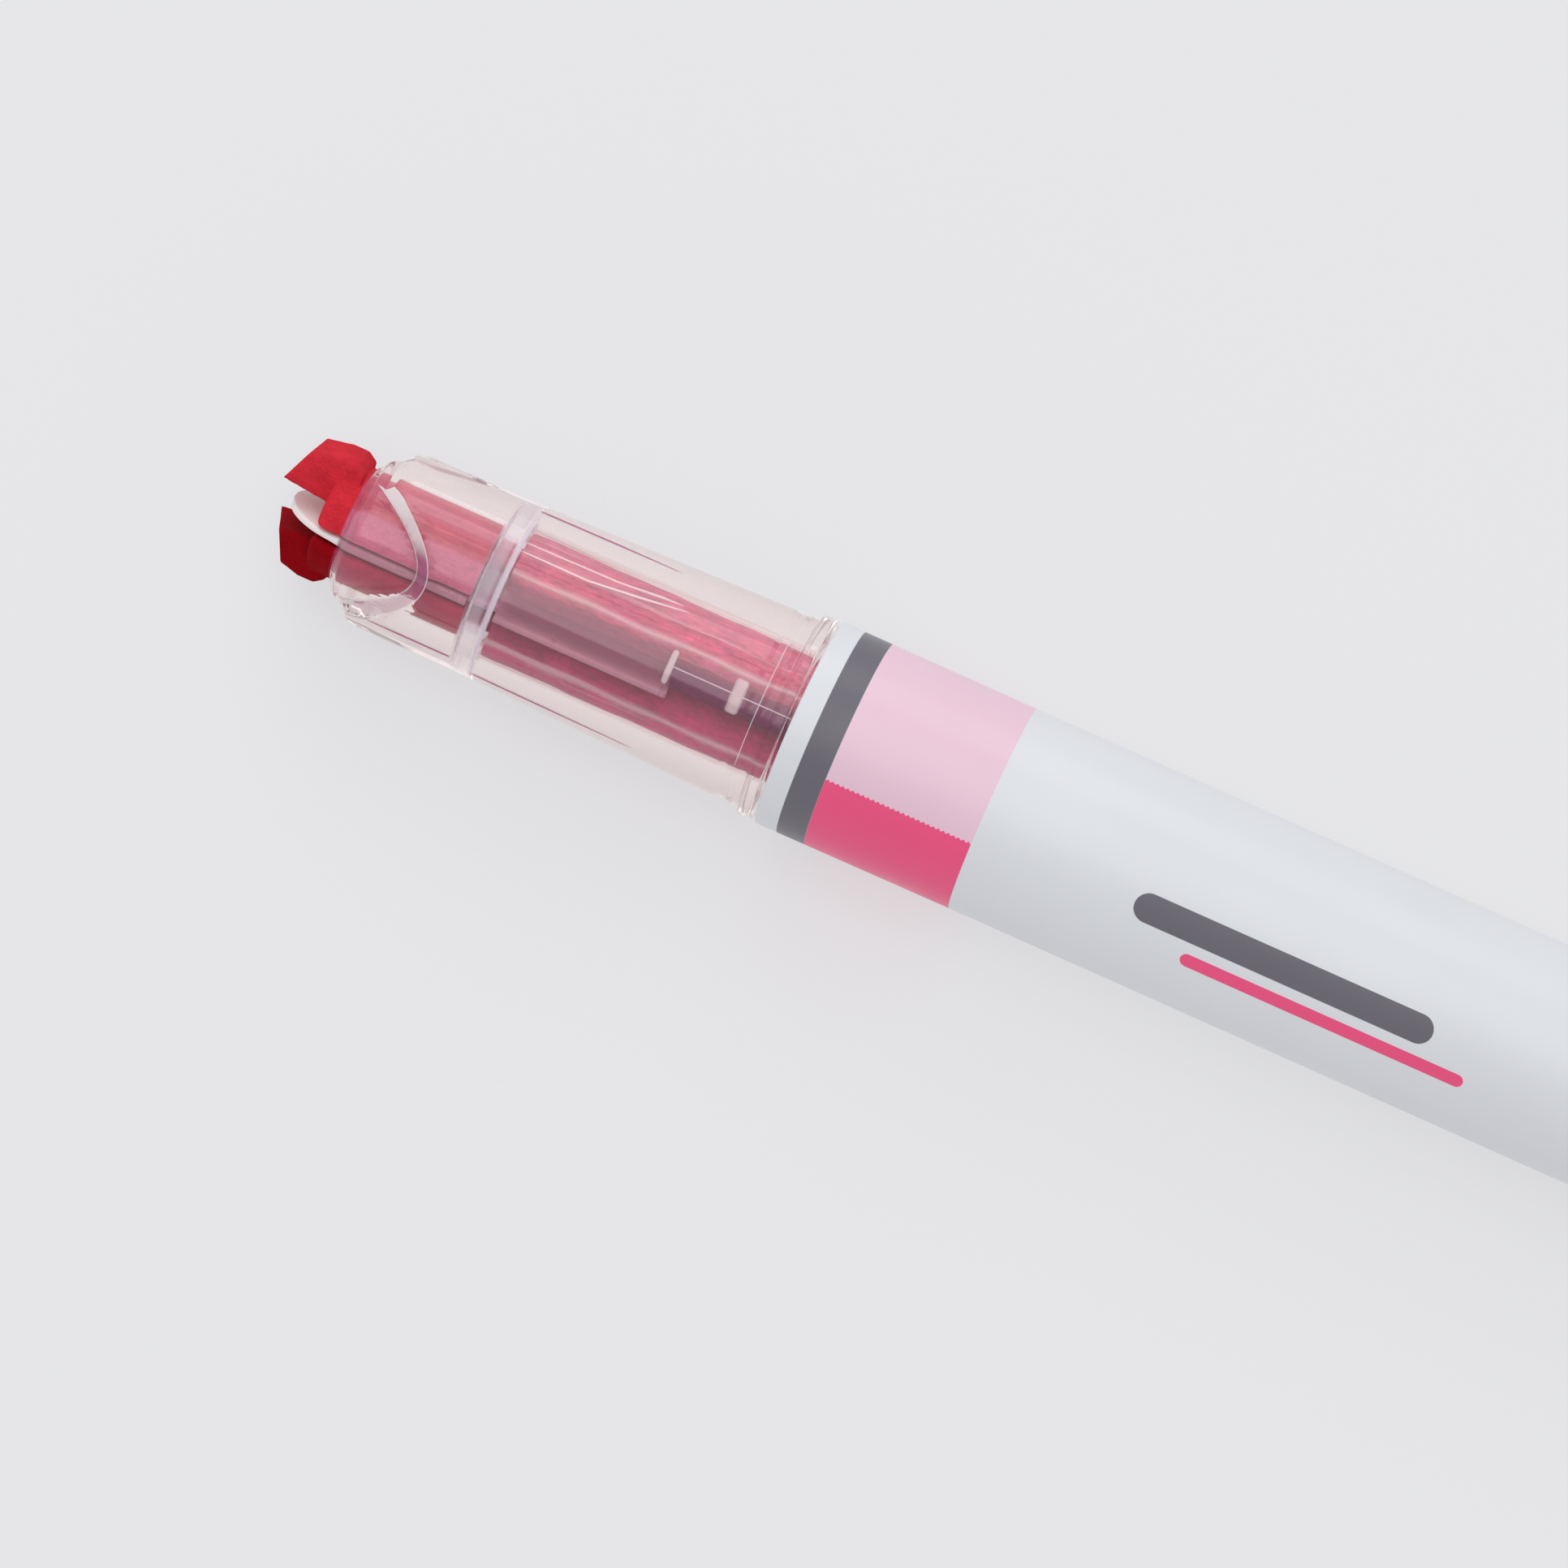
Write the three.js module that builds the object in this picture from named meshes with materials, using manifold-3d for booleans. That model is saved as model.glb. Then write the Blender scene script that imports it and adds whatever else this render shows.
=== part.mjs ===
// Two-nib highlighter, lying on a table with its cap pushed onto the tail.
//
// Millimetres. +X runs along the pen from the nibs to the cap's crown, +Z is up and the table is z = 0.
// Every piece is first made on the pen's own axis, where x = 0 is the front face of the barrel's collar,
// so the nibs have negative x. The group at the end lifts the pen onto the table and centres its length.

import * as THREE from 'three';
import { mergeVertices } from 'three/addons/utils/BufferGeometryUtils.js';
import Module from 'manifold-3d';

const wasm = await Module();
wasm.setup();

// Driving dimensions
const SIDES = 48; // facets round the pen
const OVAL_SIDES = 32; // facets round a reservoir
const COLLAR_R = 6.05;
const BARREL_R = 6.0;
const BARREL_BORE_R = 4.85;
const BARREL_END = 98.2;
const TAIL_START = 77.5; // the thinner tail that the cap is pushed onto
const TAIL_R = 5.6;
const TAIL_END_R = 5.45;
const TAIL_BORE_R = 4.4;
const TAIL_BORE_START = 74;
const PLUG_END = 99.5;

const SLEEVE_FRONT = -27.0; // front face of the clear nib holder
const LIP_R = 4.12;
const CHEEK_R = 5.15;
const CONE_END_R = 5.62;
const FLANGE_R = 6.02;
const STEM_BORE_R = 3.4;
const RESERVOIR_BORE_R = 4.0;
const WEB_FRONT = -18.9; // the web is the inner ring between nibs and reservoirs
const WEB_REAR = -17.8;
const WEB_HOLE_R = 2.9;
const SPIGOT_R = 4.7; // rear end of the holder, inside the barrel
const SPIGOT_END = 11.5;
const NOTCH_APEX = -22.0;
const NOTCH_CURVE = 0.33; // the notch's edge runs back as this times the square of the sideways distance

const NIB_TIP = -31.5;
const NIB_BLADE = 3.2; // thickness of a nib's writing blade
const STEM_FRONT = -28.6;
const STEM_R = 3.3;
const HALF_GAP = 0.42; // from the middle of the separator plate to a nib's flat side
const PIN_R = 0.9; // the nib's pin, which carries ink out of the reservoir
const PIN_OFFSET = 1.75;

const PLATE_TIP = -30.5;
const PLATE_END = -7.0;
const PLATE_THICK = 0.5;
const PLATE_HALF_FRONT = 3.2;
const PLATE_HALF_REAR = 3.85;
const PLATE_HALF_WAIST = 2.6;

const RESERVOIR_FRONT = -17.5;
const RESERVOIR_END = 88;
const RESERVOIR_OFFSET = 2.04;
const RESERVOIR_HALF = [1.58, 2.88]; // half sizes of the oval section
const FILM_GAP = 0.06;
const FILM_THICK = 0.08;

const CAP_POSTED = 79.5; // the cap's mouth when it is pushed onto the tail
const CAP_LENGTH = 41;
const CAP_RIM_R = 7.0;
const CAP_CROWN_R = 6.45;
const CAP_BORE_R = 5.8;
const CAP_STOP = 20.2; // from the mouth to the step that stops the tail
const CAP_SEAT_R = 5.3;
const CROWN_FLOOR = 36.3;

const CLIP_OUTER_R = 8.5;
const CLIP_INNER_R = 7.3;
const CLIP_WIDTH = 4.4;
const CLIP_TAB = [37.6, 39.8]; // the clip's root, from the cap's mouth
const CLIP_TAB_R = 4.5;
const SLOT_GAP = 0.3;

const SPLIT_TILT = THREE.MathUtils.degToRad(34); // turn of the plane between the two inks
const NOTCH_TILT = THREE.MathUtils.degToRad(28);
const CLIP_TILT = THREE.MathUtils.degToRad(180 + 38.4); // the clip's corner then meets the table
const MIDDLE_X = (NIB_TIP + CAP_POSTED + CAP_LENGTH) / 2;

// A geometry as a closed solid, without the flat triangles that a lathe leaves on its axis
function solidOf(geometry) {
  const bare = geometry.clone();
  bare.deleteAttribute('normal');
  bare.deleteAttribute('uv');
  const merged = mergeVertices(bare, 1e-5);
  const corners = merged.index.array;
  const kept = [];
  for (let i = 0; i < corners.length; i += 3) {
    const [a, b, c] = corners.slice(i, i + 3);
    if (a !== b && b !== c && c !== a) kept.push(a, b, c);
  }
  return new wasm.Manifold(new wasm.Mesh({
    numProp: 3,
    vertProperties: merged.attributes.position.array,
    triVerts: new Uint32Array(kept),
  }));
}

// A solid as a mesh with its name, colour and finish
function pieceOf(name, solid, color, roughness, options = {}) {
  const { vertProperties, triVerts } = solid.getMesh();
  const geometry = new THREE.BufferGeometry();
  geometry.setAttribute('position', new THREE.BufferAttribute(vertProperties, 3));
  geometry.setIndex(new THREE.BufferAttribute(triVerts, 1));
  geometry.computeVertexNormals();
  const material = new THREE.MeshStandardMaterial({ color, roughness, metalness: 0, ...options });
  const mesh = new THREE.Mesh(geometry, material);
  mesh.name = name;
  return mesh;
}

// Turned round the pen's axis from [x, radius] points: out along the outside, back along the bore
function turned(outline, sides = SIDES) {
  const closed = outline[0][1] > 0 ? [...outline, outline[0]] : outline;
  const points = closed.map(([x, radius]) => new THREE.Vector2(radius, x));
  const geometry = new THREE.LatheGeometry(points, sides);
  geometry.rotateZ(-Math.PI / 2);
  geometry.rotateX(Math.PI / sides);
  return solidOf(geometry);
}

function box(x, y, z) {
  const geometry = new THREE.BoxGeometry(x[1] - x[0], y[1] - y[0], z[1] - z[0]);
  geometry.translate((x[0] + x[1]) / 2, (y[0] + y[1]) / 2, (z[0] + z[1]) / 2);
  return solidOf(geometry);
}

// An outline of [x, sideways] points made `thick` along the third direction. The sideways points
// lie along +Y and the thickness along Z, and `turn` then turns the plate about the pen's axis.
function plate(outline, thick, turn = 0) {
  const shape = new THREE.Shape(outline.map(([x, across]) => new THREE.Vector2(x, across)));
  const geometry = new THREE.ExtrudeGeometry(shape, { depth: thick, bevelEnabled: false });
  geometry.translate(0, 0, -thick / 2);
  geometry.rotateX(turn);
  return solidOf(geometry);
}

// A bar of oval section along the pen, beside the axis
function ovalBar(from, to, halfSizes) {
  const oval = [];
  for (let i = 0; i < OVAL_SIDES; i += 1) {
    const angle = (2 * Math.PI * i) / OVAL_SIDES;
    oval.push(new THREE.Vector2(
      RESERVOIR_OFFSET + halfSizes[0] * Math.cos(angle),
      halfSizes[1] * Math.sin(angle),
    ));
  }
  const geometry = new THREE.ExtrudeGeometry(new THREE.Shape(oval), { depth: to - from, bevelEnabled: false });
  const alongPen = new THREE.Matrix4().makeBasis(
    new THREE.Vector3(0, 1, 0),
    new THREE.Vector3(0, 0, 1),
    new THREE.Vector3(1, 0, 0),
  );
  geometry.applyMatrix4(alongPen);
  geometry.translate(from, 0, 0);
  return solidOf(geometry);
}

// A short round pin beside the axis, where a nib reaches into its reservoir
function pin(from, to, radius) {
  return turned([[from, 0], [from, radius], [to, radius], [to, 0]], 16).translate([0, PIN_OFFSET, 0]);
}

// White barrel: collar, long straight body, thinner tail, and inner ribs that hold the reservoirs
function barrel() {
  let shell = turned([
    [0, COLLAR_R - 0.12],
    [0.12, COLLAR_R],
    [13, BARREL_R],
    [TAIL_START, BARREL_R],
    [TAIL_START + 0.4, TAIL_R],
    [BARREL_END, TAIL_END_R],
    [BARREL_END, TAIL_BORE_R],
    [TAIL_BORE_START, TAIL_BORE_R],
    [TAIL_BORE_START, BARREL_BORE_R],
    [0, BARREL_BORE_R],
  ]);
  const ribCount = 6;
  const ribInner = 4.1;
  for (let i = 0; i < ribCount; i += 1) {
    const rib = box([14, TAIL_BORE_START + 0.5], [ribInner, BARREL_BORE_R + 0.3], [-0.4, 0.4]);
    shell = shell.add(rib.rotate([(360 * i) / ribCount, 0, 0]));
  }
  return shell;
}

// Plug that closes the tail, a cup with a flange
function tailPlug() {
  const spigot = TAIL_BORE_R - 0.15;
  return turned([
    [88.6, spigot - 0.9],
    [89, spigot],
    [BARREL_END + 0.1, spigot],
    [BARREL_END + 0.1, TAIL_END_R - 0.1],
    [PLUG_END - 0.3, TAIL_END_R - 0.1],
    [PLUG_END, TAIL_END_R - 0.4],
    [PLUG_END, 0],
    [PLUG_END - 1.4, 0],
    [PLUG_END - 1.4, spigot - 0.9],
  ]);
}

// Solid that cuts one notch into the holder's cheeks: a parabola seen from outside, down to the lip
function notchCutter(turn) {
  const steps = 12;
  const halfWidth = 4;
  const outline = [];
  for (let i = 0; i <= steps; i += 1) {
    const across = halfWidth * (1 - (2 * i) / steps);
    outline.push([NOTCH_APEX - NOTCH_CURVE * across * across, across]);
  }
  outline.push([SLEEVE_FRONT - 1, -halfWidth], [SLEEVE_FRONT - 1, halfWidth]);
  const bothSides = plate(outline, 20, turn);
  const core = turned([
    [SLEEVE_FRONT - 2, 0],
    [SLEEVE_FRONT - 2, LIP_R],
    [NOTCH_APEX + 1, LIP_R],
    [NOTCH_APEX + 1, 0],
  ]);
  return bothSides.subtract(core);
}

// Clear nib holder: lip, two cheeks, cone, snap groove, flange, and a spigot inside the barrel
function nibHolder() {
  const body = turned([
    [SLEEVE_FRONT, STEM_BORE_R],
    [SLEEVE_FRONT, LIP_R - 0.25],
    [SLEEVE_FRONT + 0.25, LIP_R],
    [SLEEVE_FRONT + 1.1, LIP_R],
    [SLEEVE_FRONT + 1.3, CHEEK_R - 0.6],
    [SLEEVE_FRONT + 1.7, CHEEK_R - 0.2],
    [SLEEVE_FRONT + 2.4, CHEEK_R],
    [WEB_FRONT, CHEEK_R],
    [-2.7, CONE_END_R],
    [-2.4, CONE_END_R - 0.12],
    [-1.9, CONE_END_R - 0.12],
    [-1.6, CONE_END_R + 0.1],
    [-1.1, CONE_END_R],
    [-1.1, FLANGE_R],
    [-0.3, FLANGE_R],
    [-0.3, SPIGOT_R],
    [SPIGOT_END - 0.5, SPIGOT_R],
    [SPIGOT_END, SPIGOT_R - 0.3],
    [SPIGOT_END, RESERVOIR_BORE_R],
    [WEB_REAR, RESERVOIR_BORE_R],
    [WEB_REAR, WEB_HOLE_R],
    [WEB_FRONT, WEB_HOLE_R],
    [WEB_FRONT, STEM_BORE_R],
  ]);
  return body.subtract(notchCutter(NOTCH_TILT));
}

// Plate that keeps the two inks apart: a rounded tongue in front, a waist in the web, a slanted end
function separatorPlate() {
  const steps = 12;
  const tongueLength = 3.6;
  const outline = [];
  for (let i = 0; i <= steps; i += 1) {
    const angle = Math.PI * (0.5 + i / steps);
    outline.push([
      PLATE_TIP + tongueLength + tongueLength * Math.cos(angle),
      PLATE_HALF_FRONT * Math.sin(angle),
    ]);
  }
  const waist = [WEB_FRONT - 0.3, WEB_REAR + 0.3];
  outline.push(
    [waist[0], -PLATE_HALF_FRONT],
    [waist[0], -PLATE_HALF_WAIST],
    [waist[1], -PLATE_HALF_WAIST],
    [waist[1], -PLATE_HALF_REAR],
    [PLATE_END - 1.2, -PLATE_HALF_REAR],
    [PLATE_END, 0],
    [PLATE_END - 1.2, PLATE_HALF_REAR],
    [waist[1], PLATE_HALF_REAR],
    [waist[1], PLATE_HALF_WAIST],
    [waist[0], PLATE_HALF_WAIST],
    [waist[0], PLATE_HALF_FRONT],
  );
  return plate(outline, PLATE_THICK, Math.PI / 2);
}

// Felt nib on the +Y side of the plate: half-round stem, chisel blade in front, pin behind
function nib() {
  const stem = turned([
    [STEM_FRONT, 0],
    [STEM_FRONT, STEM_R - 0.3],
    [STEM_FRONT + 0.3, STEM_R],
    [WEB_FRONT - 0.2, STEM_R],
    [WEB_FRONT - 0.2, 0],
  ]);
  const half = box([NIB_TIP, RESERVOIR_FRONT], [HALF_GAP, STEM_R + 1], [-STEM_R - 1, STEM_R + 1]);
  const blade = plate([
    [NIB_TIP, 1.3],
    [NIB_TIP + 1.5, 3.36],
    [NIB_TIP + 3.6, 3.56],
    [NIB_TIP + 4.2, 3.15],
    [NIB_TIP + 4.2, 1.25],
  ], NIB_BLADE);
  return stem.intersect(half).add(blade).add(pin(WEB_FRONT - 1, RESERVOIR_FRONT + 3, PIN_R));
}

// Fibre reservoir with the pocket that the nib's pin reaches into
function reservoir() {
  const body = ovalBar(RESERVOIR_FRONT, RESERVOIR_END, RESERVOIR_HALF);
  return body.subtract(pin(RESERVOIR_FRONT - 1, RESERVOIR_FRONT + 3.3, PIN_R + 0.2));
}

// Thin plastic film wound round a reservoir, open at both ends
function reservoirFilm() {
  const inner = RESERVOIR_HALF.map((half) => half + FILM_GAP);
  const outer = inner.map((half) => half + FILM_THICK);
  const tube = ovalBar(RESERVOIR_FRONT, RESERVOIR_END, outer);
  return tube.subtract(ovalBar(RESERVOIR_FRONT - 1, RESERVOIR_END + 1, inner));
}

// Cap: rim, tapered shell, step that stops the tail, seat for the inner cap, slotted crown
function capShell() {
  const body = turned([
    [0, CAP_RIM_R - 0.25],
    [0.25, CAP_RIM_R],
    [2.2, CAP_RIM_R],
    [2.6, CAP_RIM_R - 0.15],
    [CAP_LENGTH - 1.8, CAP_CROWN_R],
    [CAP_LENGTH - 0.5, CAP_CROWN_R - 0.35],
    [CAP_LENGTH, CAP_CROWN_R - 0.85],
    [CAP_LENGTH, 0],
    [CROWN_FLOOR, 0],
    [CROWN_FLOOR, CAP_SEAT_R],
    [CAP_STOP, CAP_SEAT_R],
    [CAP_STOP, CAP_BORE_R],
    [0.5, CAP_BORE_R],
    [0, CAP_BORE_R + 0.3],
  ]);
  const halfSlot = CLIP_WIDTH / 2 + SLOT_GAP;
  const slot = box(
    [CLIP_TAB[0] - SLOT_GAP, CLIP_TAB[1] + SLOT_GAP],
    [CLIP_TAB_R - SLOT_GAP, CAP_RIM_R + 1],
    [-halfSlot, halfSlot],
  );
  return body.subtract(slot.rotate([THREE.MathUtils.radToDeg(CLIP_TILT), 0, 0]));
}

// Soft inner cap, a cup that seals on the holder's lip when the pen is closed
function innerCap() {
  const mouth = 26.1;
  const outer = CAP_SEAT_R - 0.2;
  const bore = LIP_R + 0.18;
  return turned([
    [mouth, bore + 0.3],
    [mouth + 0.4, outer],
    [CROWN_FLOOR - 0.2, outer],
    [CROWN_FLOOR - 0.2, 0],
    [CROWN_FLOOR - 1.7, 0],
    [CROWN_FLOOR - 1.7, bore - 0.4],
    [CROWN_FLOOR - 2.3, bore],
    [mouth + 0.4, bore],
  ]);
}

// Pocket clip: long arm with a gripping pad at its tip and a tab at its root
function clip() {
  const arm = plate([
    [4.6, CLIP_OUTER_R - 0.4],
    [5.2, CLIP_OUTER_R],
    [39.6, CLIP_OUTER_R],
    [40.2, CLIP_OUTER_R - 0.6],
    [40.2, CAP_RIM_R - 0.1],
    [CLIP_TAB[1], CAP_RIM_R - 0.25],
    [CLIP_TAB[1], CLIP_TAB_R],
    [CLIP_TAB[0], CLIP_TAB_R],
    [CLIP_TAB[0], CLIP_INNER_R],
    [12, CLIP_INNER_R],
    [8.4, CLIP_INNER_R - 0.2],
    [6, CLIP_INNER_R - 0.2],
    [4.6, CLIP_INNER_R + 0.2],
  ], CLIP_WIDTH);
  return arm.rotate([THREE.MathUtils.radToDeg(CLIP_TILT), 0, 0]);
}

const WHITE = 0xe9ebf0;
const CLEAR = { transparent: true, opacity: 0.35 };

const pen = new THREE.Group();
pen.position.set(-MIDDLE_X, 0, CAP_RIM_R);
pen.add(pieceOf('barrel', barrel(), WHITE, 0.35));
pen.add(pieceOf('tail_plug', tailPlug(), WHITE, 0.4));
pen.add(pieceOf('nib_holder', nibHolder(), 0xefe6e4, 0.08, CLEAR));

// Each ink's pieces are made once on the +Y side and turned half a turn for the other ink
const inks = [
  { name: 'light', turn: 0, nib: 0xc83240, reservoir: 0xd77090 },
  { name: 'dark', turn: Math.PI, nib: 0x860c14, reservoir: 0xa54466 },
];
const inside = new THREE.Group();
inside.rotation.x = SPLIT_TILT;
inside.add(pieceOf('separator_plate', separatorPlate(), 0xe3d9d6, 0.3));
for (const ink of inks) {
  const side = new THREE.Group();
  side.rotation.x = ink.turn;
  side.add(pieceOf(`${ink.name}_nib`, nib(), ink.nib, 0.9));
  side.add(pieceOf(`${ink.name}_reservoir`, reservoir(), ink.reservoir, 0.85));
  side.add(pieceOf(`${ink.name}_reservoir_film`, reservoirFilm(), 0xf2dfe4, 0.1, CLEAR));
  inside.add(side);
}
pen.add(inside);

const cap = new THREE.Group();
cap.position.x = CAP_POSTED;
cap.add(pieceOf('cap_shell', capShell(), WHITE, 0.35));
cap.add(pieceOf('inner_cap', innerCap(), 0xf2f2f0, 0.6));
cap.add(pieceOf('clip', clip(), WHITE, 0.35));
pen.add(cap);

const highlighter = new THREE.Group();
highlighter.add(pen);

export default highlighter;
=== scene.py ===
"""Looks of a two-nib highlighter: clear nib holder, felt nibs, ink reservoirs, printed barrel and cap.

Every piece is a surface worked out on a grid in millimetres on the pen's own axis, where x = 0 is the
front face of the barrel's collar, and is then put into the frame. Angles round the pen are counted
from +Y towards +Z.
"""

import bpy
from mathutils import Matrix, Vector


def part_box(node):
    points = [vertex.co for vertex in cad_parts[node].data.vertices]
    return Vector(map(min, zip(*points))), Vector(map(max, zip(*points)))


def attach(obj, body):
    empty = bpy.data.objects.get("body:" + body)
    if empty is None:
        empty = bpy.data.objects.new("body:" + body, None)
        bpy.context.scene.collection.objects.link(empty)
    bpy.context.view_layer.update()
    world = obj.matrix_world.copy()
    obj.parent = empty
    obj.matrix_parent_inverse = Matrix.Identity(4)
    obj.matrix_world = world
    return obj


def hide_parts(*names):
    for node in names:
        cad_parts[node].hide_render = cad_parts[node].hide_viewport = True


bl_info = {
    "name": "Two-nib highlighter",
    "version": (1, 0, 0),
    "blender": (4, 5, 0),
    "location": "View3D > Sidebar > Highlighter",
    "description": "Makes the pieces of a two-nib highlighter round its packed frame",
    "category": "Object",
}

import math

import bpy
import numpy as np
from bpy.props import FloatProperty, FloatVectorProperty, PointerProperty
from mathutils import Vector

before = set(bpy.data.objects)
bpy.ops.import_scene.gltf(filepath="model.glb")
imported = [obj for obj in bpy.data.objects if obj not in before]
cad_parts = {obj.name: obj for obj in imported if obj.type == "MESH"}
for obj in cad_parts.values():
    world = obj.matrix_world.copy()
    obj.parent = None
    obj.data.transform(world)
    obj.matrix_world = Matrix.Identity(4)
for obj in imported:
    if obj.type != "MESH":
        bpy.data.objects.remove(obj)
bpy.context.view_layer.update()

MM = 0.001
BARREL_LOW, BARREL_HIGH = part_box("barrel")
CAP_LOW, CAP_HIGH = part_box("cap_shell")
COLLAR_X = BARREL_LOW.x
AXIS_Z = (BARREL_LOW.z + BARREL_HIGH.z) / 2
CAP_LENGTH = (CAP_HIGH.x - CAP_LOW.x) / MM
BARREL_LENGTH = (BARREL_HIGH.x - BARREL_LOW.x) / MM

SPLIT_TILT = math.radians(34)  # turn of the plane between the two inks, about the pen's axis
PRINT_TILT = math.radians(32)  # the same for the printed split
NOTCH_ANGLE = math.radians(90 + 28)  # the middle of the notch that faces the camera
CLIP_ANGLE = math.radians(180 + 38.4)
FACING = math.radians(90 + 9.7)  # the side of the pen that is uppermost for the camera

# Places along the pen and depths inside it, in millimetres.
NIB_TIP, PLATE_TIP = -31.5, -30.75
LIP = -27.0
WEB_FRONT, WEB_REAR = -18.9, -17.8
SHOULDER, STEM_END = -28.8, -19.1
RESERVOIR_FRONT, RESERVOIR_END = -17.5, 88.0
PLATE_END = -7.0
NOTCH_FLOOR = 4.3


# ---------------------------------------------------------------- settings


def colour(label, value):
    """A colour setting with its default, in linear light."""
    return FloatVectorProperty(
        name=label, description=label, subtype="COLOR", size=3, min=0, max=1, default=value
    )


def length(label, value):
    """A size setting in metres from its default in millimetres."""
    return FloatProperty(name=label, description=label, unit="LENGTH", min=0, default=value * MM)


class HighlighterSizes(bpy.types.PropertyGroup):
    """Sizes that a user may change before the pieces are made."""

    lip_radius: length("Radius of the holder's lip", 4.02)
    cheek_radius: length("Radius of the holder's cheeks", 5.15)
    cone_radius: length("Radius of the holder's cone at the collar", 5.62)
    stem_bore: length("Radius of the holder's bore round the nibs", 3.4)
    reservoir_bore: length("Radius of the holder's bore round the reservoirs", 4.0)
    notch_depth: length("Distance from the holder's front face to the notch's apex", 4.7)
    stem_radius: length("Radius of the nibs' stems", 3.3)
    blade_width: length("Thickness of the nibs' writing blades", 3.2)
    plate_thickness: length("Thickness of the separator plate", 0.5)
    wrinkle: length("Height of the wrinkles in the reservoirs' film", 0.05)


class HighlighterColours(bpy.types.PropertyGroup):
    """Colours of the materials."""

    white: colour("White plastic", (0.715, 0.73, 0.765))
    grey_print: colour("Grey print", (0.135, 0.126, 0.152))
    light_print: colour("Light pink print", (0.80, 0.55, 0.66))
    dark_print: colour("Dark pink print", (0.85, 0.075, 0.217))
    light_tip: colour("Light ink dried at the tip", (0.61, 0.025, 0.040))
    dark_tip: colour("Dark ink dried at the tip", (0.26, 0.001, 0.005))
    light_felt: colour("Light ink in felt", (0.51, 0.075, 0.145))
    dark_felt: colour("Dark ink in felt", (0.40, 0.012, 0.065))
    # Paler felt colours: a painted reflection veil along the edges of the stems' flat sides, inside the clear
    # holder.
    light_band: colour("Light ink in felt along its flat side", (0.57, 0.165, 0.295))
    dark_band: colour("Dark ink in felt along its flat side", (0.42, 0.03, 0.10))
    light_fibre: colour("Light ink in fibre", (0.62, 0.105, 0.23))
    dark_fibre: colour("Dark ink in fibre", (0.50, 0.012, 0.145))
    film: colour("Film", (0.86, 0.70, 0.75))
    # Painted glint on the notches' sloping walls.
    frosting: colour("Frosted edges of the notches", (0.93, 0.84, 0.86))
    # Painted highlights of the lugs and lines in the holder.
    lug: colour("Lugs and lines in the holder's bore", (0.86, 0.80, 0.88))
    # Painted reflection of the ink: pink lines along the holder and on the notch walls, and painted shade
    # over the gap between the reservoirs.
    streak: colour("Ink streaks on the holder", (0.47, 0.12, 0.27))
    # Painted shade over the gap between the reservoirs.
    stain: colour("Ink stain over the gap between the reservoirs", (0.22, 0.005, 0.14))
    plate: colour("Milky plate in the open", (0.97, 0.90, 0.89))
    # The plate inside the holder: darker and pinker by painted shade and a painted reflection of the ink.
    shaded_plate: colour("Milky plate beside the ink", (0.52, 0.26, 0.38))
    floor: colour("Floor", (0.25, 0.25, 0.255))


class HighlighterStage(bpy.types.PropertyGroup):
    """Camera and light."""

    azimuth: FloatProperty(
        name="Azimuth", description="Camera's direction round the pen", subtype="ANGLE",
        default=math.radians(24.4),
    )
    elevation: FloatProperty(
        name="Elevation", description="Camera's height above the horizon", subtype="ANGLE",
        default=math.radians(79.4),
    )
    distance: FloatProperty(
        name="Distance", description="Camera's distance from the pen", unit="LENGTH", default=0.524
    )
    lens: FloatProperty(name="Lens", description="Focal length in millimetres", default=218.0)
    ambient: FloatProperty(
        name="Ambient", description="Strength of the even light all round", default=0.66
    )
    overhead: FloatProperty(
        name="Overhead", description="Power of the overhead softbox in watts", default=2.5
    )
    side: FloatProperty(
        name="Side", description="Power of the side softbox in watts", default=3.0
    )


def sizes():
    """The size settings, in millimetres, by name."""
    group = bpy.context.scene.highlighter_sizes
    return {key: getattr(group, key) / MM for key in HighlighterSizes.__annotations__}


# ---------------------------------------------------------------- surfaces


def rounded(corners, closed=False, steps=6):
    """Outline through corners of (x, radius, fillet): each corner with a fillet becomes an arc that
    touches both its sides, so a point on it is centre + fillet * (cos t, sin t), t swept evenly."""
    points = np.array([corner[:2] for corner in corners], dtype=float)
    fillets = [corner[2] if len(corner) > 2 else 0.0 for corner in corners]
    count = len(points)
    outline = []
    for i in range(count):
        corner, fillet = points[i], fillets[i]
        if not fillet or (not closed and i in (0, count - 1)):
            outline.append(corner[None])
            continue
        before = points[i - 1] - corner
        after = points[(i + 1) % count] - corner
        reach_before, reach_after = np.linalg.norm(before), np.linalg.norm(after)
        before, after = before / reach_before, after / reach_after
        half = math.acos(np.clip(before @ after, -1, 1)) / 2
        if half > math.radians(89):
            outline.append(corner[None])
            continue
        reach = min(fillet / math.tan(half), 0.48 * reach_before, 0.48 * reach_after)
        radius = reach * math.tan(half)
        centre = corner + (before + after) / np.linalg.norm(before + after) * radius / math.sin(half)
        first, last = corner + before * reach - centre, corner + after * reach - centre
        turn = math.atan2(first[0] * last[1] - first[1] * last[0], first @ last)
        sweep = math.atan2(first[1], first[0]) + np.linspace(0, turn, steps + 1)
        outline.append(centre + radius * np.stack([np.cos(sweep), np.sin(sweep)], axis=-1))
    return np.vstack(outline)


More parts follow.
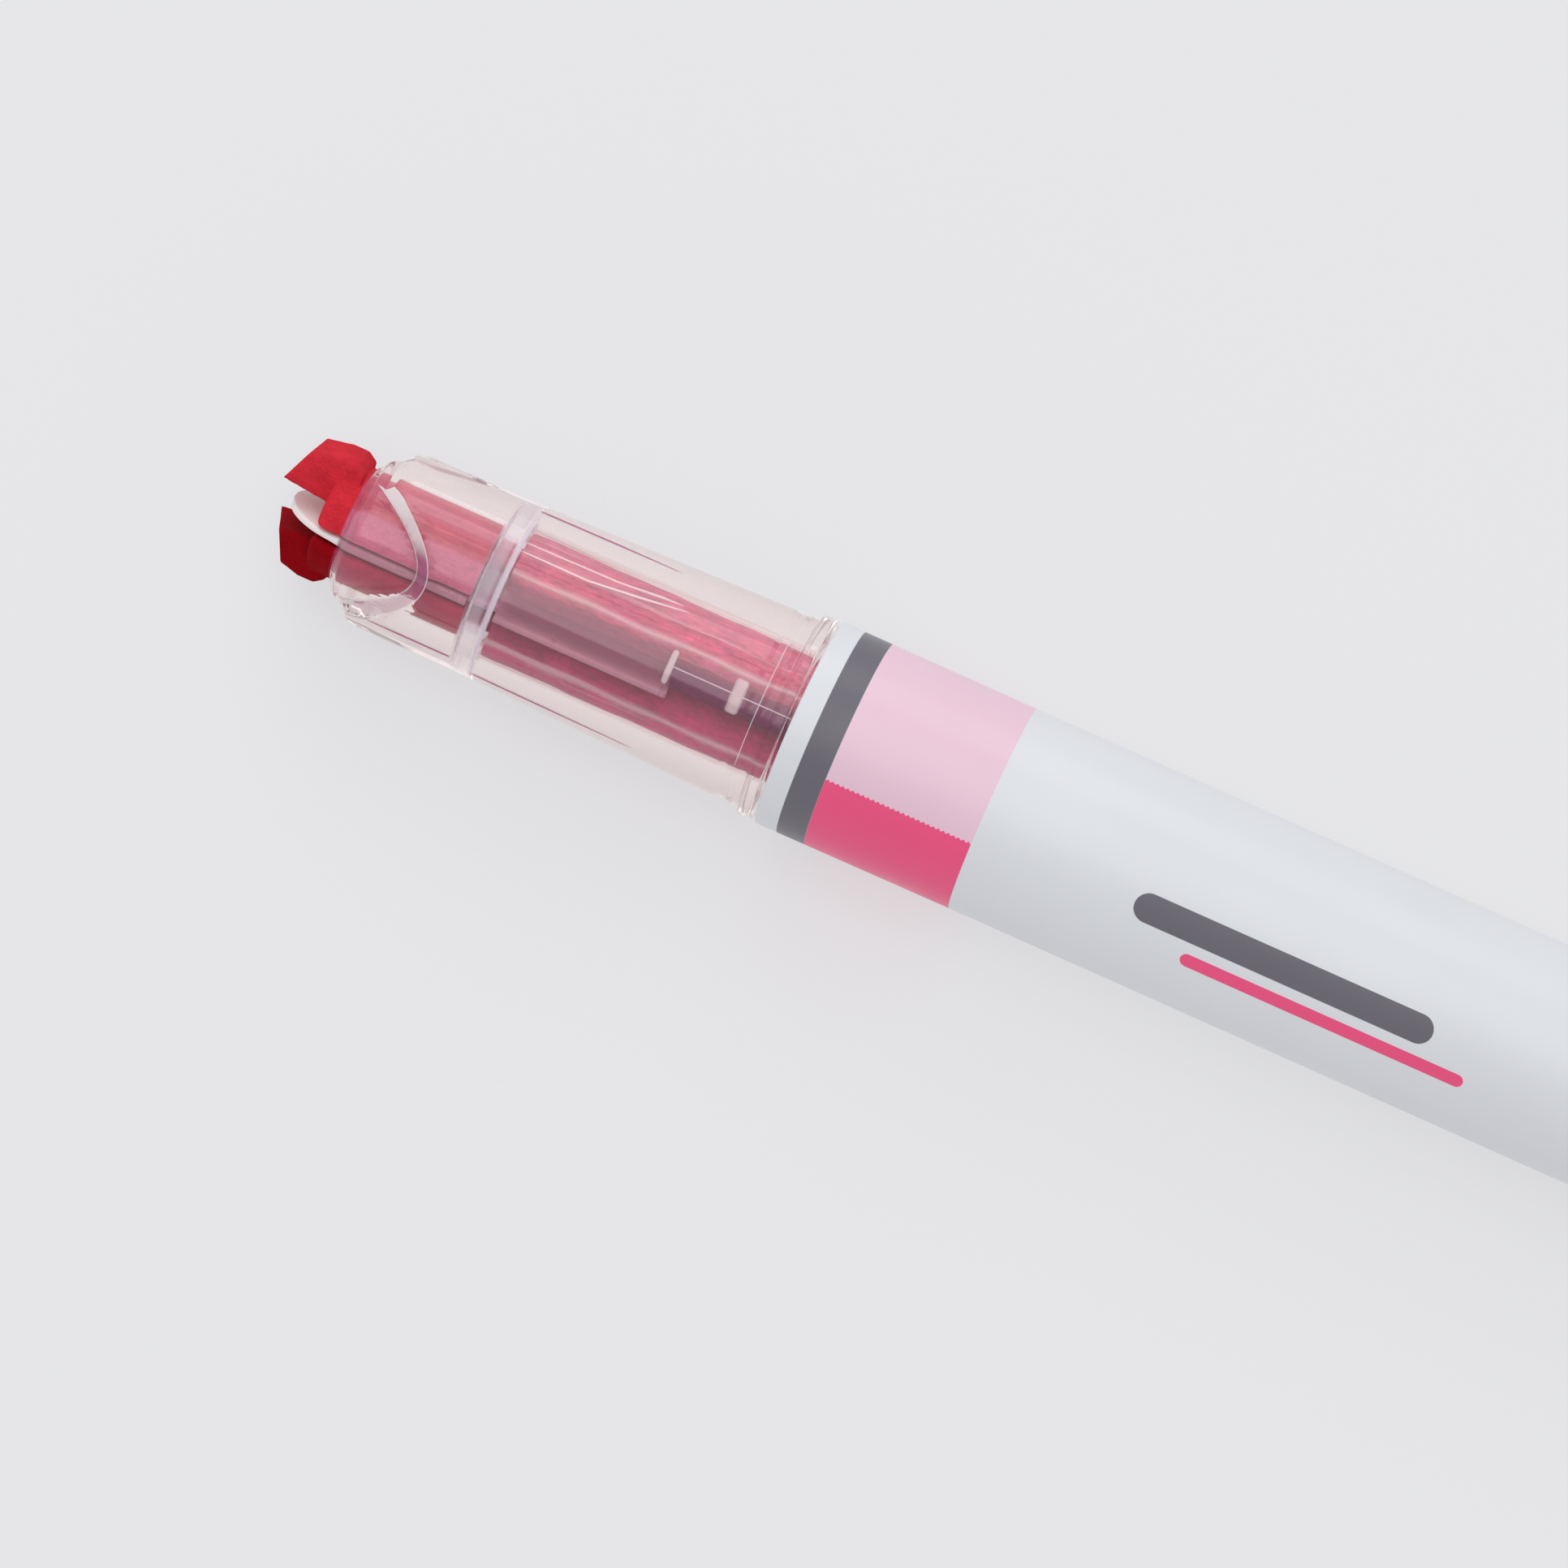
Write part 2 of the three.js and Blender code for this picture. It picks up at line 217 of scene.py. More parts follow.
def refined(outline, step, closed=False, fine=None):
    """The outline with each side longer than step split evenly. fine = (from_x, to_x, radius, step)
    splits the sides inside that stretch and outside that radius further. Long sides also get a point
    close to each end, so that the shading of a fillet stays in the fillet."""
    ends = np.vstack([outline, outline[:1]]) if closed else outline
    near = 0.1
    parts = []
    for a, b in zip(ends[:-1], ends[1:]):
        span = np.linalg.norm(b - a)
        inside = fine and fine[0] <= min(a[0], b[0]) and max(a[0], b[0]) <= fine[1]
        inside = inside and min(a[1], b[1]) > fine[2]
        pieces = max(1, math.ceil(span / (fine[3] if inside else step)))
        share = np.linspace(0, 1, pieces, endpoint=False)
        if span > 6 * near:
            share = np.unique(np.concatenate([share, [near / span, 1 - near / span]]))
        parts.append(a + (b - a) * share[:, None])
    if not closed:
        parts.append(ends[-1:])
    return np.vstack(parts)


def surface(name, points, ring=True, turn=0.0, x0=COLLAR_X, sharp=35, marks=None, masks=None):
    """Object over a grid of points (rows, columns, xyz) in millimetres on the pen's axis. The columns
    close on themselves. With ring the rows do too, and without it the first and last rows are closed
    by a fan to their middle. The points are turned about the pen's axis by turn and put in the frame:
    (x, y, z) -> (x0 + x, y cos t - z sin t, axis height + y sin t + z cos t). marks, a grid of true and
    false, gives the quads that take the second material, and masks are grids kept as attributes."""
    rows, columns = points.shape[:2]
    index = np.arange(rows * columns).reshape(rows, columns)
    below = np.vstack([index, index[:1]]) if ring else index
    quads = np.stack(
        [below[:-1], below[1:], np.roll(below[1:], -1, 1), np.roll(below[:-1], -1, 1)], axis=-1
    ).reshape(-1, 4)
    flat = points.reshape(-1, 3)
    faces = quads.tolist()
    if not ring:
        flat = np.vstack([flat, points[0].mean(0), points[-1].mean(0)])
        first, last = index[0], index[-1]
        middle = rows * columns
        fan = np.stack([np.full(columns, middle), first, np.roll(first, -1)], axis=-1)
        end = np.stack([np.full(columns, middle + 1), np.roll(last, -1), last], axis=-1)
        faces += fan.tolist() + end.tolist()
    a, b, c, d = (flat[quads[:, k]] for k in range(4))
    volume = np.einsum("ij,ij->", a, np.cross(b, c)) + np.einsum("ij,ij->", a, np.cross(c, d))
    if volume < 0:
        faces = [face[::-1] for face in faces]
    cos, sin = math.cos(turn), math.sin(turn)
    x, y, z = flat.T * MM
    placed = np.stack([x0 + x, y * cos - z * sin, AXIS_Z + y * sin + z * cos], axis=-1)
    mesh = bpy.data.meshes.new(name)
    mesh.from_pydata(placed, [], faces)
    mesh.validate()
    mesh.shade_smooth()
    mesh.set_sharp_from_angle(angle=math.radians(sharp))
    if marks is not None:
        mesh.polygons.foreach_set("material_index", marks[: rows if ring else -1].astype(np.int32).ravel())
    for label, mask in (masks or {}).items():
        attribute = mesh.attributes.new(label, "FLOAT", "POINT")
        values = np.zeros(len(mesh.vertices), dtype=np.float32)
        values[: rows * columns] = mask.ravel()
        attribute.data.foreach_set("value", values)
    piece = bpy.data.objects.new(name, mesh)
    bpy.context.scene.collection.objects.link(piece)
    return piece


def turned(name, outline, columns=192, x0=COLLAR_X, shape=None, marked=None):
    """Surface of revolution: the outline's (x, radius) carried round as (x, r cos a, r sin a). shape
    and marked, if given, are functions of x, radius and angle arrays: the radius to use, and where the
    second material lies. An outline that starts and ends on the axis becomes a solid with two flat
    ends, and any other a closed ring."""
    on_axis = outline[0, 1] < 1e-6
    if on_axis:
        outline = outline[1:-1]
    angle = np.linspace(0, 2 * np.pi, columns, endpoint=False)[None]
    x, radius = outline[:, :1], outline[:, 1:]
    x, radius, angle = np.broadcast_arrays(x, radius, angle)
    marks = None if marked is None else marked(x, radius, angle)
    if shape is not None:
        radius = shape(x, radius, angle)
    points = np.stack([x, radius * np.cos(angle), radius * np.sin(angle)], axis=-1)
    return surface(name, points, ring=not on_axis, x0=x0, marks=marks)


def soft_step(value):
    """0 below 0, 1 above 1 and 3v^2 - 2v^3 between."""
    value = np.clip(value, 0, 1)
    return value * value * (3 - 2 * value)


def turn_from(angle, middle):
    """Angle measured from middle, between -pi and pi."""
    return np.angle(np.exp(1j * (angle - middle)))


# ---------------------------------------------------------------- material parts


def node_tree(name):
    """An empty material and the two things needed to fill it."""
    material = bpy.data.materials.new(name)
    material.use_nodes = True
    nodes = material.node_tree.nodes
    nodes.clear()
    output = nodes.new("ShaderNodeOutputMaterial")
    shader = nodes.new("ShaderNodeBsdfPrincipled")
    material.node_tree.links.new(shader.outputs[0], output.inputs[0])
    return material, shader


def add(tree, kind, values=None, **settings):
    """A node with its settings and its sockets' values or links, by socket name or number."""
    node = tree.nodes.new(kind)
    for key, value in settings.items():
        setattr(node, key, value)
    for key, value in (values or {}).items():
        if isinstance(value, bpy.types.NodeSocket):
            tree.links.new(value, node.inputs[key])
        else:
            node.inputs[key].default_value = value
    return node


def maths(tree, operation, *values):
    """Output of a Math node."""
    return add(tree, "ShaderNodeMath", dict(enumerate(values)), operation=operation).outputs[0]


def between(tree, value, low, high, soft):
    """Mask that is 1 while value is between low and high, with edges as wide as soft."""
    rise = add(tree, "ShaderNodeMapRange", {0: value, 1: low - soft, 2: low + soft}).outputs[0]
    fall = add(tree, "ShaderNodeMapRange", {0: value, 1: high - soft, 2: high + soft}).outputs[0]
    return maths(tree, "MULTIPLY", rise, maths(tree, "SUBTRACT", 1.0, fall))


def mixed(tree, share, first, second):
    """Colour mix of two colours or colour links."""
    node = add(tree, "ShaderNodeMix", data_type="RGBA")
    for socket, value in ((node.inputs[0], share), (node.inputs[6], first), (node.inputs[7], second)):
        if isinstance(value, bpy.types.NodeSocket):
            tree.links.new(value, socket)
        else:
            socket.default_value = value if isinstance(value, float) else (*value, 1.0)
    return node.outputs[2]


def effect(name, inputs, outputs):
    """A shader node group with named sockets: (group, input node, output node)."""
    group = bpy.data.node_groups.new(name, "ShaderNodeTree")
    for label, kind, value in inputs:
        socket = group.interface.new_socket(label, in_out="INPUT", socket_type=kind)
        socket.default_value = value
    for label, kind in outputs:
        group.interface.new_socket(label, in_out="OUTPUT", socket_type=kind)
    return group, group.nodes.new("NodeGroupInput"), group.nodes.new("NodeGroupOutput")


def moulded_effect():
    """Moulded plastic: faint orange-peel height, slow tone change and handling smudges in roughness."""
    if "Moulded plastic" in bpy.data.node_groups:
        return bpy.data.node_groups["Moulded plastic"]
    group, start, end = effect(
        "Moulded plastic",
        [
            ("Colour", "NodeSocketColor", (0.8, 0.8, 0.8, 1)),
            ("Roughness", "NodeSocketFloat", 0.3),
            ("Peel scale", "NodeSocketFloat", 900.0),
        ],
        [("Colour", "NodeSocketColor"), ("Roughness", "NodeSocketFloat"), ("Height", "NodeSocketFloat")],
    )
    place = group.nodes.new("ShaderNodeTexCoord").outputs["Object"]
    peel = add(group, "ShaderNodeTexNoise", {"Vector": place, "Scale": start.outputs[2], "Detail": 2.0})
    slow = add(group, "ShaderNodeTexNoise", {"Vector": place, "Scale": 90.0, "Detail": 3.0})
    smudge = add(group, "ShaderNodeTexNoise", {"Vector": place, "Scale": 260.0, "Detail": 6.0})
    tone = add(group, "ShaderNodeMapRange", {0: slow.outputs[0], 1: 0.3, 2: 0.7, 3: 0.985, 4: 1.012})
    shade = add(group, "ShaderNodeVectorMath", {0: start.outputs[0], 3: tone.outputs[0]}, operation="SCALE")
    rough = add(group, "ShaderNodeMapRange", {0: smudge.outputs[0], 1: 0.35, 2: 0.75, 3: 0.92, 4: 1.25})
    group.links.new(shade.outputs[0], end.inputs[0])
    group.links.new(maths(group, "MULTIPLY", start.outputs[1], rough.outputs[0]), end.inputs[1])
    group.links.new(peel.outputs[0], end.inputs[2])
    return group


def fibre_effect():
    """Fibres: colour mottle and height from noise drawn out along the pen by Stretch."""
    if "Fibres" in bpy.data.node_groups:
        return bpy.data.node_groups["Fibres"]
    group, start, end = effect(
        "Fibres",
        [
            ("Colour", "NodeSocketColor", (0.8, 0.2, 0.3, 1)),
            ("Scale", "NodeSocketFloat", 2500.0),
            ("Stretch", "NodeSocketFloat", 0.2),
            ("Mottle", "NodeSocketFloat", 0.3),
        ],
        [("Colour", "NodeSocketColor"), ("Height", "NodeSocketFloat")],
    )
    place = group.nodes.new("ShaderNodeTexCoord").outputs["Object"]
    along = add(group, "ShaderNodeCombineXYZ", {0: start.outputs[2], 1: 1.0, 2: 1.0})
    drawn = add(group, "ShaderNodeVectorMath", {0: place, 1: along.outputs[0]}, operation="MULTIPLY")
    fine = add(
        group, "ShaderNodeTexNoise", {"Vector": drawn.outputs[0], "Scale": start.outputs[1], "Detail": 4.0}
    )
    broad = add(group, "ShaderNodeTexNoise", {"Vector": drawn.outputs[0], "Scale": 1500.0, "Detail": 3.0})
    both = maths(group, "ADD", fine.outputs[0], broad.outputs[0])
    centred = maths(group, "SUBTRACT", both, 1.0)
    factor = maths(group, "ADD", maths(group, "MULTIPLY", centred, start.outputs[3]), 1.0)
    shade = add(group, "ShaderNodeVectorMath", {0: start.outputs[0], 3: factor}, operation="SCALE")
    group.links.new(shade.outputs[0], end.inputs[0])
    group.links.new(fine.outputs[0], end.inputs[1])
    return group


def placed_group(tree, group, values):
    """A node group put into a material with its own values."""
    node = tree.nodes.new("ShaderNodeGroup")
    node.node_tree = group
    for key, value in values.items():
        if isinstance(value, bpy.types.NodeSocket):
            tree.links.new(value, node.inputs[key])
        else:
            node.inputs[key].default_value = value
    return node


def bump(tree, shader, height, strength, distance):
    """Bump node from a height to the shader's normal."""
    node = add(tree, "ShaderNodeBump", {"Height": height, "Strength": strength, "Distance": distance})
    tree.links.new(node.outputs[0], shader.inputs["Normal"])


def colours():
    """The colour settings."""
    return bpy.context.scene.highlighter_colours


def moulded_finish(name, base, roughness):
    """Opaque moulded plastic. base is a colour, or a function that takes the node tree and returns a
    colour link for a printed surface."""
    material, shader = node_tree(name)
    tree = material.node_tree
    group = placed_group(tree, moulded_effect(), {"Roughness": roughness})
    if callable(base):
        tree.links.new(base(tree), group.inputs[0])
    else:
        group.inputs[0].default_value = (*base, 1.0)
    tree.links.new(group.outputs[0], shader.inputs["Base Color"])
    tree.links.new(group.outputs[1], shader.inputs["Roughness"])
    bump(tree, shader, group.outputs[2], 0.08, 0.00002)
    shader.inputs["Subsurface Weight"].default_value = 0.05
    shader.inputs["Subsurface Radius"].default_value = (0.001, 0.001, 0.001)
    return material


def white_finish():
    """White plastic of the cap, clip and plug."""
    if "white_plastic" in bpy.data.materials:
        return bpy.data.materials["white_plastic"]
    return moulded_finish("white_plastic", tuple(colours().white), 0.32)


def barrel_print(tree):
    """Printed bands of the barrel, from x along the pen and the angle round it. The split between the
    two pinks has a toothed edge, a cosine of x added to the angle."""
    place = tree.nodes.new("ShaderNodeTexCoord").outputs["Object"]
    pen = add(tree, "ShaderNodeMapping", {"Vector": place, "Location": (-COLLAR_X, 0, -AXIS_Z)})
    turned_pen = add(
        tree, "ShaderNodeMapping", {"Vector": pen.outputs[0], "Rotation": (-PRINT_TILT, 0, 0)}
    )
    axes = add(tree, "ShaderNodeSeparateXYZ", {0: turned_pen.outputs[0]})
    x = maths(tree, "MULTIPLY", axes.outputs[0], 1000.0)
    across = maths(tree, "MULTIPLY", axes.outputs[1], 1000.0)
    tooth_pitch, tooth_height = 0.3, 0.05
    tooth = maths(tree, "COSINE", maths(tree, "MULTIPLY", x, 2 * math.pi / tooth_pitch))
    split = maths(tree, "ADD", across, maths(tree, "MULTIPLY", tooth, tooth_height))
    light_side = add(tree, "ShaderNodeMapRange", {0: split, 1: -0.02, 2: 0.02}).outputs[0]
    pinks = mixed(tree, light_side, tuple(colours().dark_print), tuple(colours().light_print))
    grey = tuple(colours().grey_print)
    grey_front, pink_front, pink_rear, soft = 1.34, 3.0, 11.7, 0.02
    block = between(tree, x, pink_front, pink_rear, soft)
    band = between(tree, x, grey_front, pink_front, soft)
    base = mixed(tree, block, tuple(colours().white), pinks)
    base = mixed(tree, band, base, grey)
    return mark(tree, base, x, across, axes.outputs[2], grey)


def mark(tree, base, x, across, up, grey):
    """Plain two-line emblem beside the split: a thick grey bar with round ends and a thin pink one
    under it, each a capsule: distance from its middle line less its half width."""
    near_side = add(tree, "ShaderNodeMapRange", {0: up, 1: -0.0001, 2: 0.0001}).outputs[0]
    for low, high, level, half_width, ink in (
        (22.0, 38.0, 0.75, 0.85, grey),
        (25.0, 41.0, -1.15, 0.4, tuple(colours().dark_print)),
    ):
        past = maths(tree, "MAXIMUM", maths(tree, "SUBTRACT", x, high), maths(tree, "SUBTRACT", low, x))
        beyond = maths(tree, "MAXIMUM", past, 0.0)
        off = maths(tree, "SUBTRACT", across, level)
        reach = maths(
            tree, "SQRT",
            maths(tree, "ADD", maths(tree, "MULTIPLY", beyond, beyond), maths(tree, "MULTIPLY", off, off)),
        )
        inside = add(
            tree, "ShaderNodeMapRange", {0: reach, 1: half_width + 0.02, 2: half_width - 0.02}
        ).outputs[0]
        base = mixed(tree, maths(tree, "MULTIPLY", inside, near_side), base, ink)
    return base


def clear_finish(name, tint, roughness, clear):
    """Clear plastic. Light from lamps passes straight through it, so what it holds isn't left dark,
    and so does a ray that has been mirrored inside three times, which would otherwise end there."""
    material, shader = node_tree(name)
    tree = material.node_tree
    shader.inputs["Base Color"].default_value = (*tint, 1.0)
    shader.inputs["Roughness"].default_value = roughness
    shader.inputs["IOR"].default_value = 1.46
    shader.inputs["Transmission Weight"].default_value = clear
    path = tree.nodes.new("ShaderNodeLightPath")
    trapped = maths(tree, "GREATER_THAN", path.outputs["Glossy Depth"], 2.5)
    passed = maths(tree, "MAXIMUM", path.outputs["Is Shadow Ray"], trapped)
    through = add(tree, "ShaderNodeBsdfTransparent", {"Color": (*(0.5 + 0.5 * c for c in tint), 1.0)})
    mix = tree.nodes.new("ShaderNodeMixShader")
    tree.links.new(passed, mix.inputs[0])
    tree.links.new(shader.outputs[0], mix.inputs[1])
    tree.links.new(through.outputs[0], mix.inputs[2])
    output = next(node for node in tree.nodes if node.type == "OUTPUT_MATERIAL")
    tree.links.new(mix.outputs[0], output.inputs[0])
    return material


def milky_finish():
    """Milky plate that lets some light through, darker and pinker inside the holder by painted shade and a
    painted reflection of the ink.
    """
    material, shader = node_tree("milky_plastic")
    tree = material.node_tree
    shaded = mixed(tree, cover_mask(tree), tuple(colours().plate), tuple(colours().shaded_plate))
    group = placed_group(tree, moulded_effect(), {"Colour": shaded, "Roughness": 0.28})
    tree.links.new(group.outputs[0], shader.inputs["Base Color"])
    tree.links.new(group.outputs[1], shader.inputs["Roughness"])
    shader.inputs["Transmission Weight"].default_value = 0.12
    shader.inputs["IOR"].default_value = 1.45
    return material


def cover_mask(tree):
    """0 in the open ahead of the holder's lip and 1 inside it, from x along the pen."""
    place = tree.nodes.new("ShaderNodeTexCoord").outputs["Object"]
    along = add(tree, "ShaderNodeSeparateXYZ", {0: place}).outputs[0]
    low, high = COLLAR_X + (LIP - 0.2) * MM, COLLAR_X + (LIP - 0.05) * MM
    return add(tree, "ShaderNodeMapRange", {0: along, 1: low, 2: high}).outputs[0]


def fibre_finish(name, ink, scale, stretch, mottle, height, tip=None, band=None):
    """Ink-soaked felt or fibre. tip is the deeper colour of the end that has dried in the open, up to
    where the holder's lip covers it, and band the paler colour of a painted reflection veil where the
    attribute "band" is high."""
    material, shader = node_tree(name)
    tree = material.node_tree
    group = placed_group(
        tree, fibre_effect(), {"Colour": (*ink, 1.0), "Scale": scale, "Stretch": stretch, "Mottle": mottle}
    )
    if tip:
        share = add(tree, "ShaderNodeAttribute", attribute_name="band").outputs["Fac"]
        inside = mixed(tree, share, ink, band)
        tree.links.new(mixed(tree, cover_mask(tree), tip, inside), group.inputs[0])
    tree.links.new(group.outputs[0], shader.inputs["Base Color"])
    shader.inputs["Roughness"].default_value = 0.85
    shader.inputs["Specular IOR Level"].default_value = 0.06
    bump(tree, shader, group.outputs[1], 0.5, height)
    return material


def cover_finish(name, base, mask="cover", least=0.0, most=1.0):
    """Thin see-through layer whose alpha runs from least to most with the attribute called mask."""
    material, shader = node_tree(name)
    tree = material.node_tree
    share = add(tree, "ShaderNodeAttribute", attribute_name=mask).outputs["Fac"]
    cover = add(tree, "ShaderNodeMapRange", {0: share, 1: 0.0, 2: 1.0, 3: least, 4: most})
    tree.links.new(cover.outputs[0], shader.inputs["Alpha"])
    shader.inputs["Base Color"].default_value = (*base, 1.0)
    shader.inputs["Roughness"].default_value = 0.25
    shader.inputs["Specular IOR Level"].default_value = 0.15
    return material


def dress(piece, material, node, body):
    """Gives a piece its material and its place in the assembly."""
    piece.data.materials.append(material)
    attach(piece, body)
    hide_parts(node)


# ---------------------------------------------------------------- pieces


def make_barrel():
    """Barrel: collar, body, thinner tail, and a bore whose radius drops at six ribs."""
    end, bore, step = BARREL_LENGTH, 4.85, 74
    outline = rounded([
        (0, bore, 0.1), (0, 6.05, 0.14), (13, 6.0, 2.0), (77.5, 6.0, 0.12), (77.9, 5.6, 0.12),
        (end, 5.45, 0.12), (end, 4.4, 0.1), (step, 4.4, 0.1), (step, bore, 0.1),
    ], closed=True)

    def ribs(x, radius, angle):
        """Bore radius less 0.75 inside the six ribs, which are 0.8 wide and run from x 14 to the step."""
        off = np.abs(turn_from(angle * 6, 0)) / 6 * 4.5
        rib = soft_step((0.5 - off) / 0.2) * (x > 14) * (x < step - 0.1) * (radius < bore + 0.15)
        return radius - 0.75 * rib

    piece = turned("printed_barrel", refined(outline, 2.0, closed=True), columns=288, shape=ribs)
    finish = moulded_finish("printed_plastic", barrel_print, 0.34)
    dress(piece, finish, "barrel", "barrel_body")


def make_tail_plug():
    """Tail plug: a cup with a flange."""
    face = BARREL_LENGTH
    outline = rounded([
        (face - 0.1, 0), (face - 0.1, 3.35, 0.3), (88.6, 3.35, 0.1), (88.6, 3.7, 0.1), (89, 4.25, 0.2),
        (face + 0.1, 4.25, 0.05), (face + 0.1, 5.35, 0.1), (face + 1.3, 5.35, 0.3), (face + 1.3, 0),
    ])
    piece = turned("tail_plug_cup", refined(outline, 1.0))
    dress(piece, white_finish(), "tail_plug", "barrel_body")


def notch_foot(size, t):
    """x of the foot of a notch's sloping wall, t being the distance round from the notch's middle: the
    parabola x = apex - 0.33 t^2."""
    return LIP + size["notch_depth"] - 0.33 * t * t


def holder_shape(size):
    """Radius of the clear holder as a function of x, radius and angle: outside, the notches cut the
    cheeks down to their floor, and their walls rise from it at 45 degrees along the pen."""

    def shape(x, radius, angle):
        outside = (radius > 3.8) & (x < WEB_FRONT - 0.6)
        quarter = 1.5
        result = radius
        for middle in (NOTCH_ANGLE, NOTCH_ANGLE + math.pi):
            off = turn_from(angle, middle)
            t = NOTCH_FLOOR * np.sin(np.clip(off, -quarter, quarter))
            wall = NOTCH_FLOOR + np.maximum(x - notch_foot(size, t), 0)
            result = np.where(outside & (np.abs(off) < quarter), np.minimum(result, wall), result)
        return result

    return shape


def web_faces(x, radius, angle):
    """Where the holder is matt: both faces of the web between the nibs and the reservoirs."""
    return (x > WEB_FRONT - 0.25) & (x < WEB_REAR + 0.25) & (radius > 2.8) & (radius < 4.05)


def holder_outline(size):
    """Outline of the clear holder in (x, radius, fillet)."""
    lip, cheek, cone = size["lip_radius"], size["cheek_radius"], size["cone_radius"]
    stem, bore = size["stem_bore"], size["reservoir_bore"]
    return [
        (LIP, stem, 0.06), (LIP, lip - 0.5, 0.15), (-26.5, lip + 0.1, 0.35),
        (-25.85, lip + 0.36, 0.08), (-25.3, cheek - 0.15, 0.3), (-24.6, cheek, 0.8),
        (WEB_FRONT, cheek + 0.02, 1.0), (-2.7, cone, 0.2), (-2.4, cone - 0.06, 0.2), (-1.9, cone - 0.06, 0.2),
        (-1.6, cone + 0.04, 0.2), (-1.25, cone - 0.02, 0.08), (-1.1, cone - 0.02, 0.04),
        (-1.1, 6.02, 0.08), (-0.3, 6.02, 0.08), (-0.3, 4.7, 0.1), (11.5, 4.7, 0.3), (11.5, bore, 0.1),
        (WEB_REAR, bore, 0.15), (WEB_REAR, 2.9, 0.12), (WEB_FRONT, 2.9, 0.12), (WEB_FRONT, stem, 0.15),
    ]


def strip(name, x, radius, angle, cover, finish):
    """Thin closed shell over a grid of places on the holder: x, radius and angle are grids with a row
    for each step along and a column for each step across, and cover is its density."""
    rise = np.concatenate([np.full(radius.shape, 0.02), np.zeros(radius.shape)], axis=1)
    x, radius, angle, cover = (
        np.concatenate([grid, grid[:, ::-1]], axis=1) for grid in np.broadcast_arrays(x, radius, angle, cover)
    )
    radius = radius + rise
    points = np.stack([x, radius * np.cos(angle), radius * np.sin(angle)], axis=-1)
    piece = surface(name, points, ring=False, masks={"cover": cover})
    dress(piece, finish, "nib_holder", "barrel_body")


def make_notch_edges(size):
    """Painted glint on the notches' sloping walls, from their foot (s = 0) to where they meet the outside
    (s = 1), denser along both edges and up the branch that faces the camera, and a painted reflection of
    the ink over the plate and, fainter, down the other branch. A wall ends at the first rise, found in
    small steps, that isn't short of the outline."""
    outer = np.array([corner[:2] for corner in holder_outline(size)[1:8]])
    first, last = -3.55, 3.2
    t = np.linspace(first, last, 170)[:, None]
    foot = notch_foot(size, t)
    tallest, least, step = 0.9, 0.2, 0.005
    rise = np.linspace(0, tallest, round(tallest / step) + 1)[None]
    short = NOTCH_FLOOR + rise < np.interp(foot + rise, outer[:, 0], outer[:, 1])
    height = np.maximum(short.sum(axis=1, keepdims=True) * step, least)
    s = np.linspace(0, 1, 40)[None]
    x = foot + height * s
    radius = np.minimum(NOTCH_FLOOR + height * s, np.interp(x, outer[:, 0], outer[:, 1])) + 0.01
    angle = np.arcsin(t / NOTCH_FLOOR)
    inset = 0.05
    edges = np.exp(-((s / inset - 1) ** 2)) + np.exp(-(((1 - s) / inset - 1) ** 2))
    edges = edges * (0.8 - 0.45 * soft_step((t + 1.6) / 0.9))
    fill = 0.6 * soft_step((-t - 1.0) / 1.1) + 0.1 * soft_step((t - 1.2) / 1.2)
    ends = soft_step((t - first) / 0.2) * soft_step((last - t) / 0.5)
    cover = np.clip(np.maximum(edges, fill), 0, 1) * ends
    # Painted reflection of the ink over the plate and, fainter, down the other branch.
    ink_reflection = soft_step((t + 2.1) / 0.9) * (0.5 - 0.27 * soft_step((t - 0.3) / 0.7)) * ends
    ink_reflection = ink_reflection * (1 - (2 * s - 1) ** 4)
    # Painted glint and a painted reflection of the ink on the notch walls.
    frosting = cover_finish("notch_frosting", tuple(colours().frosting))
    tint = cover_finish("notch_tint", tuple(colours().streak))
    for name, middle in (("near", NOTCH_ANGLE), ("far", NOTCH_ANGLE + math.pi)):
        strip(f"{name}_notch_frosting", x, radius, middle + angle, cover, frosting)
        strip(f"{name}_notch_tint", x, radius - 0.03, middle + angle, ink_reflection, tint)
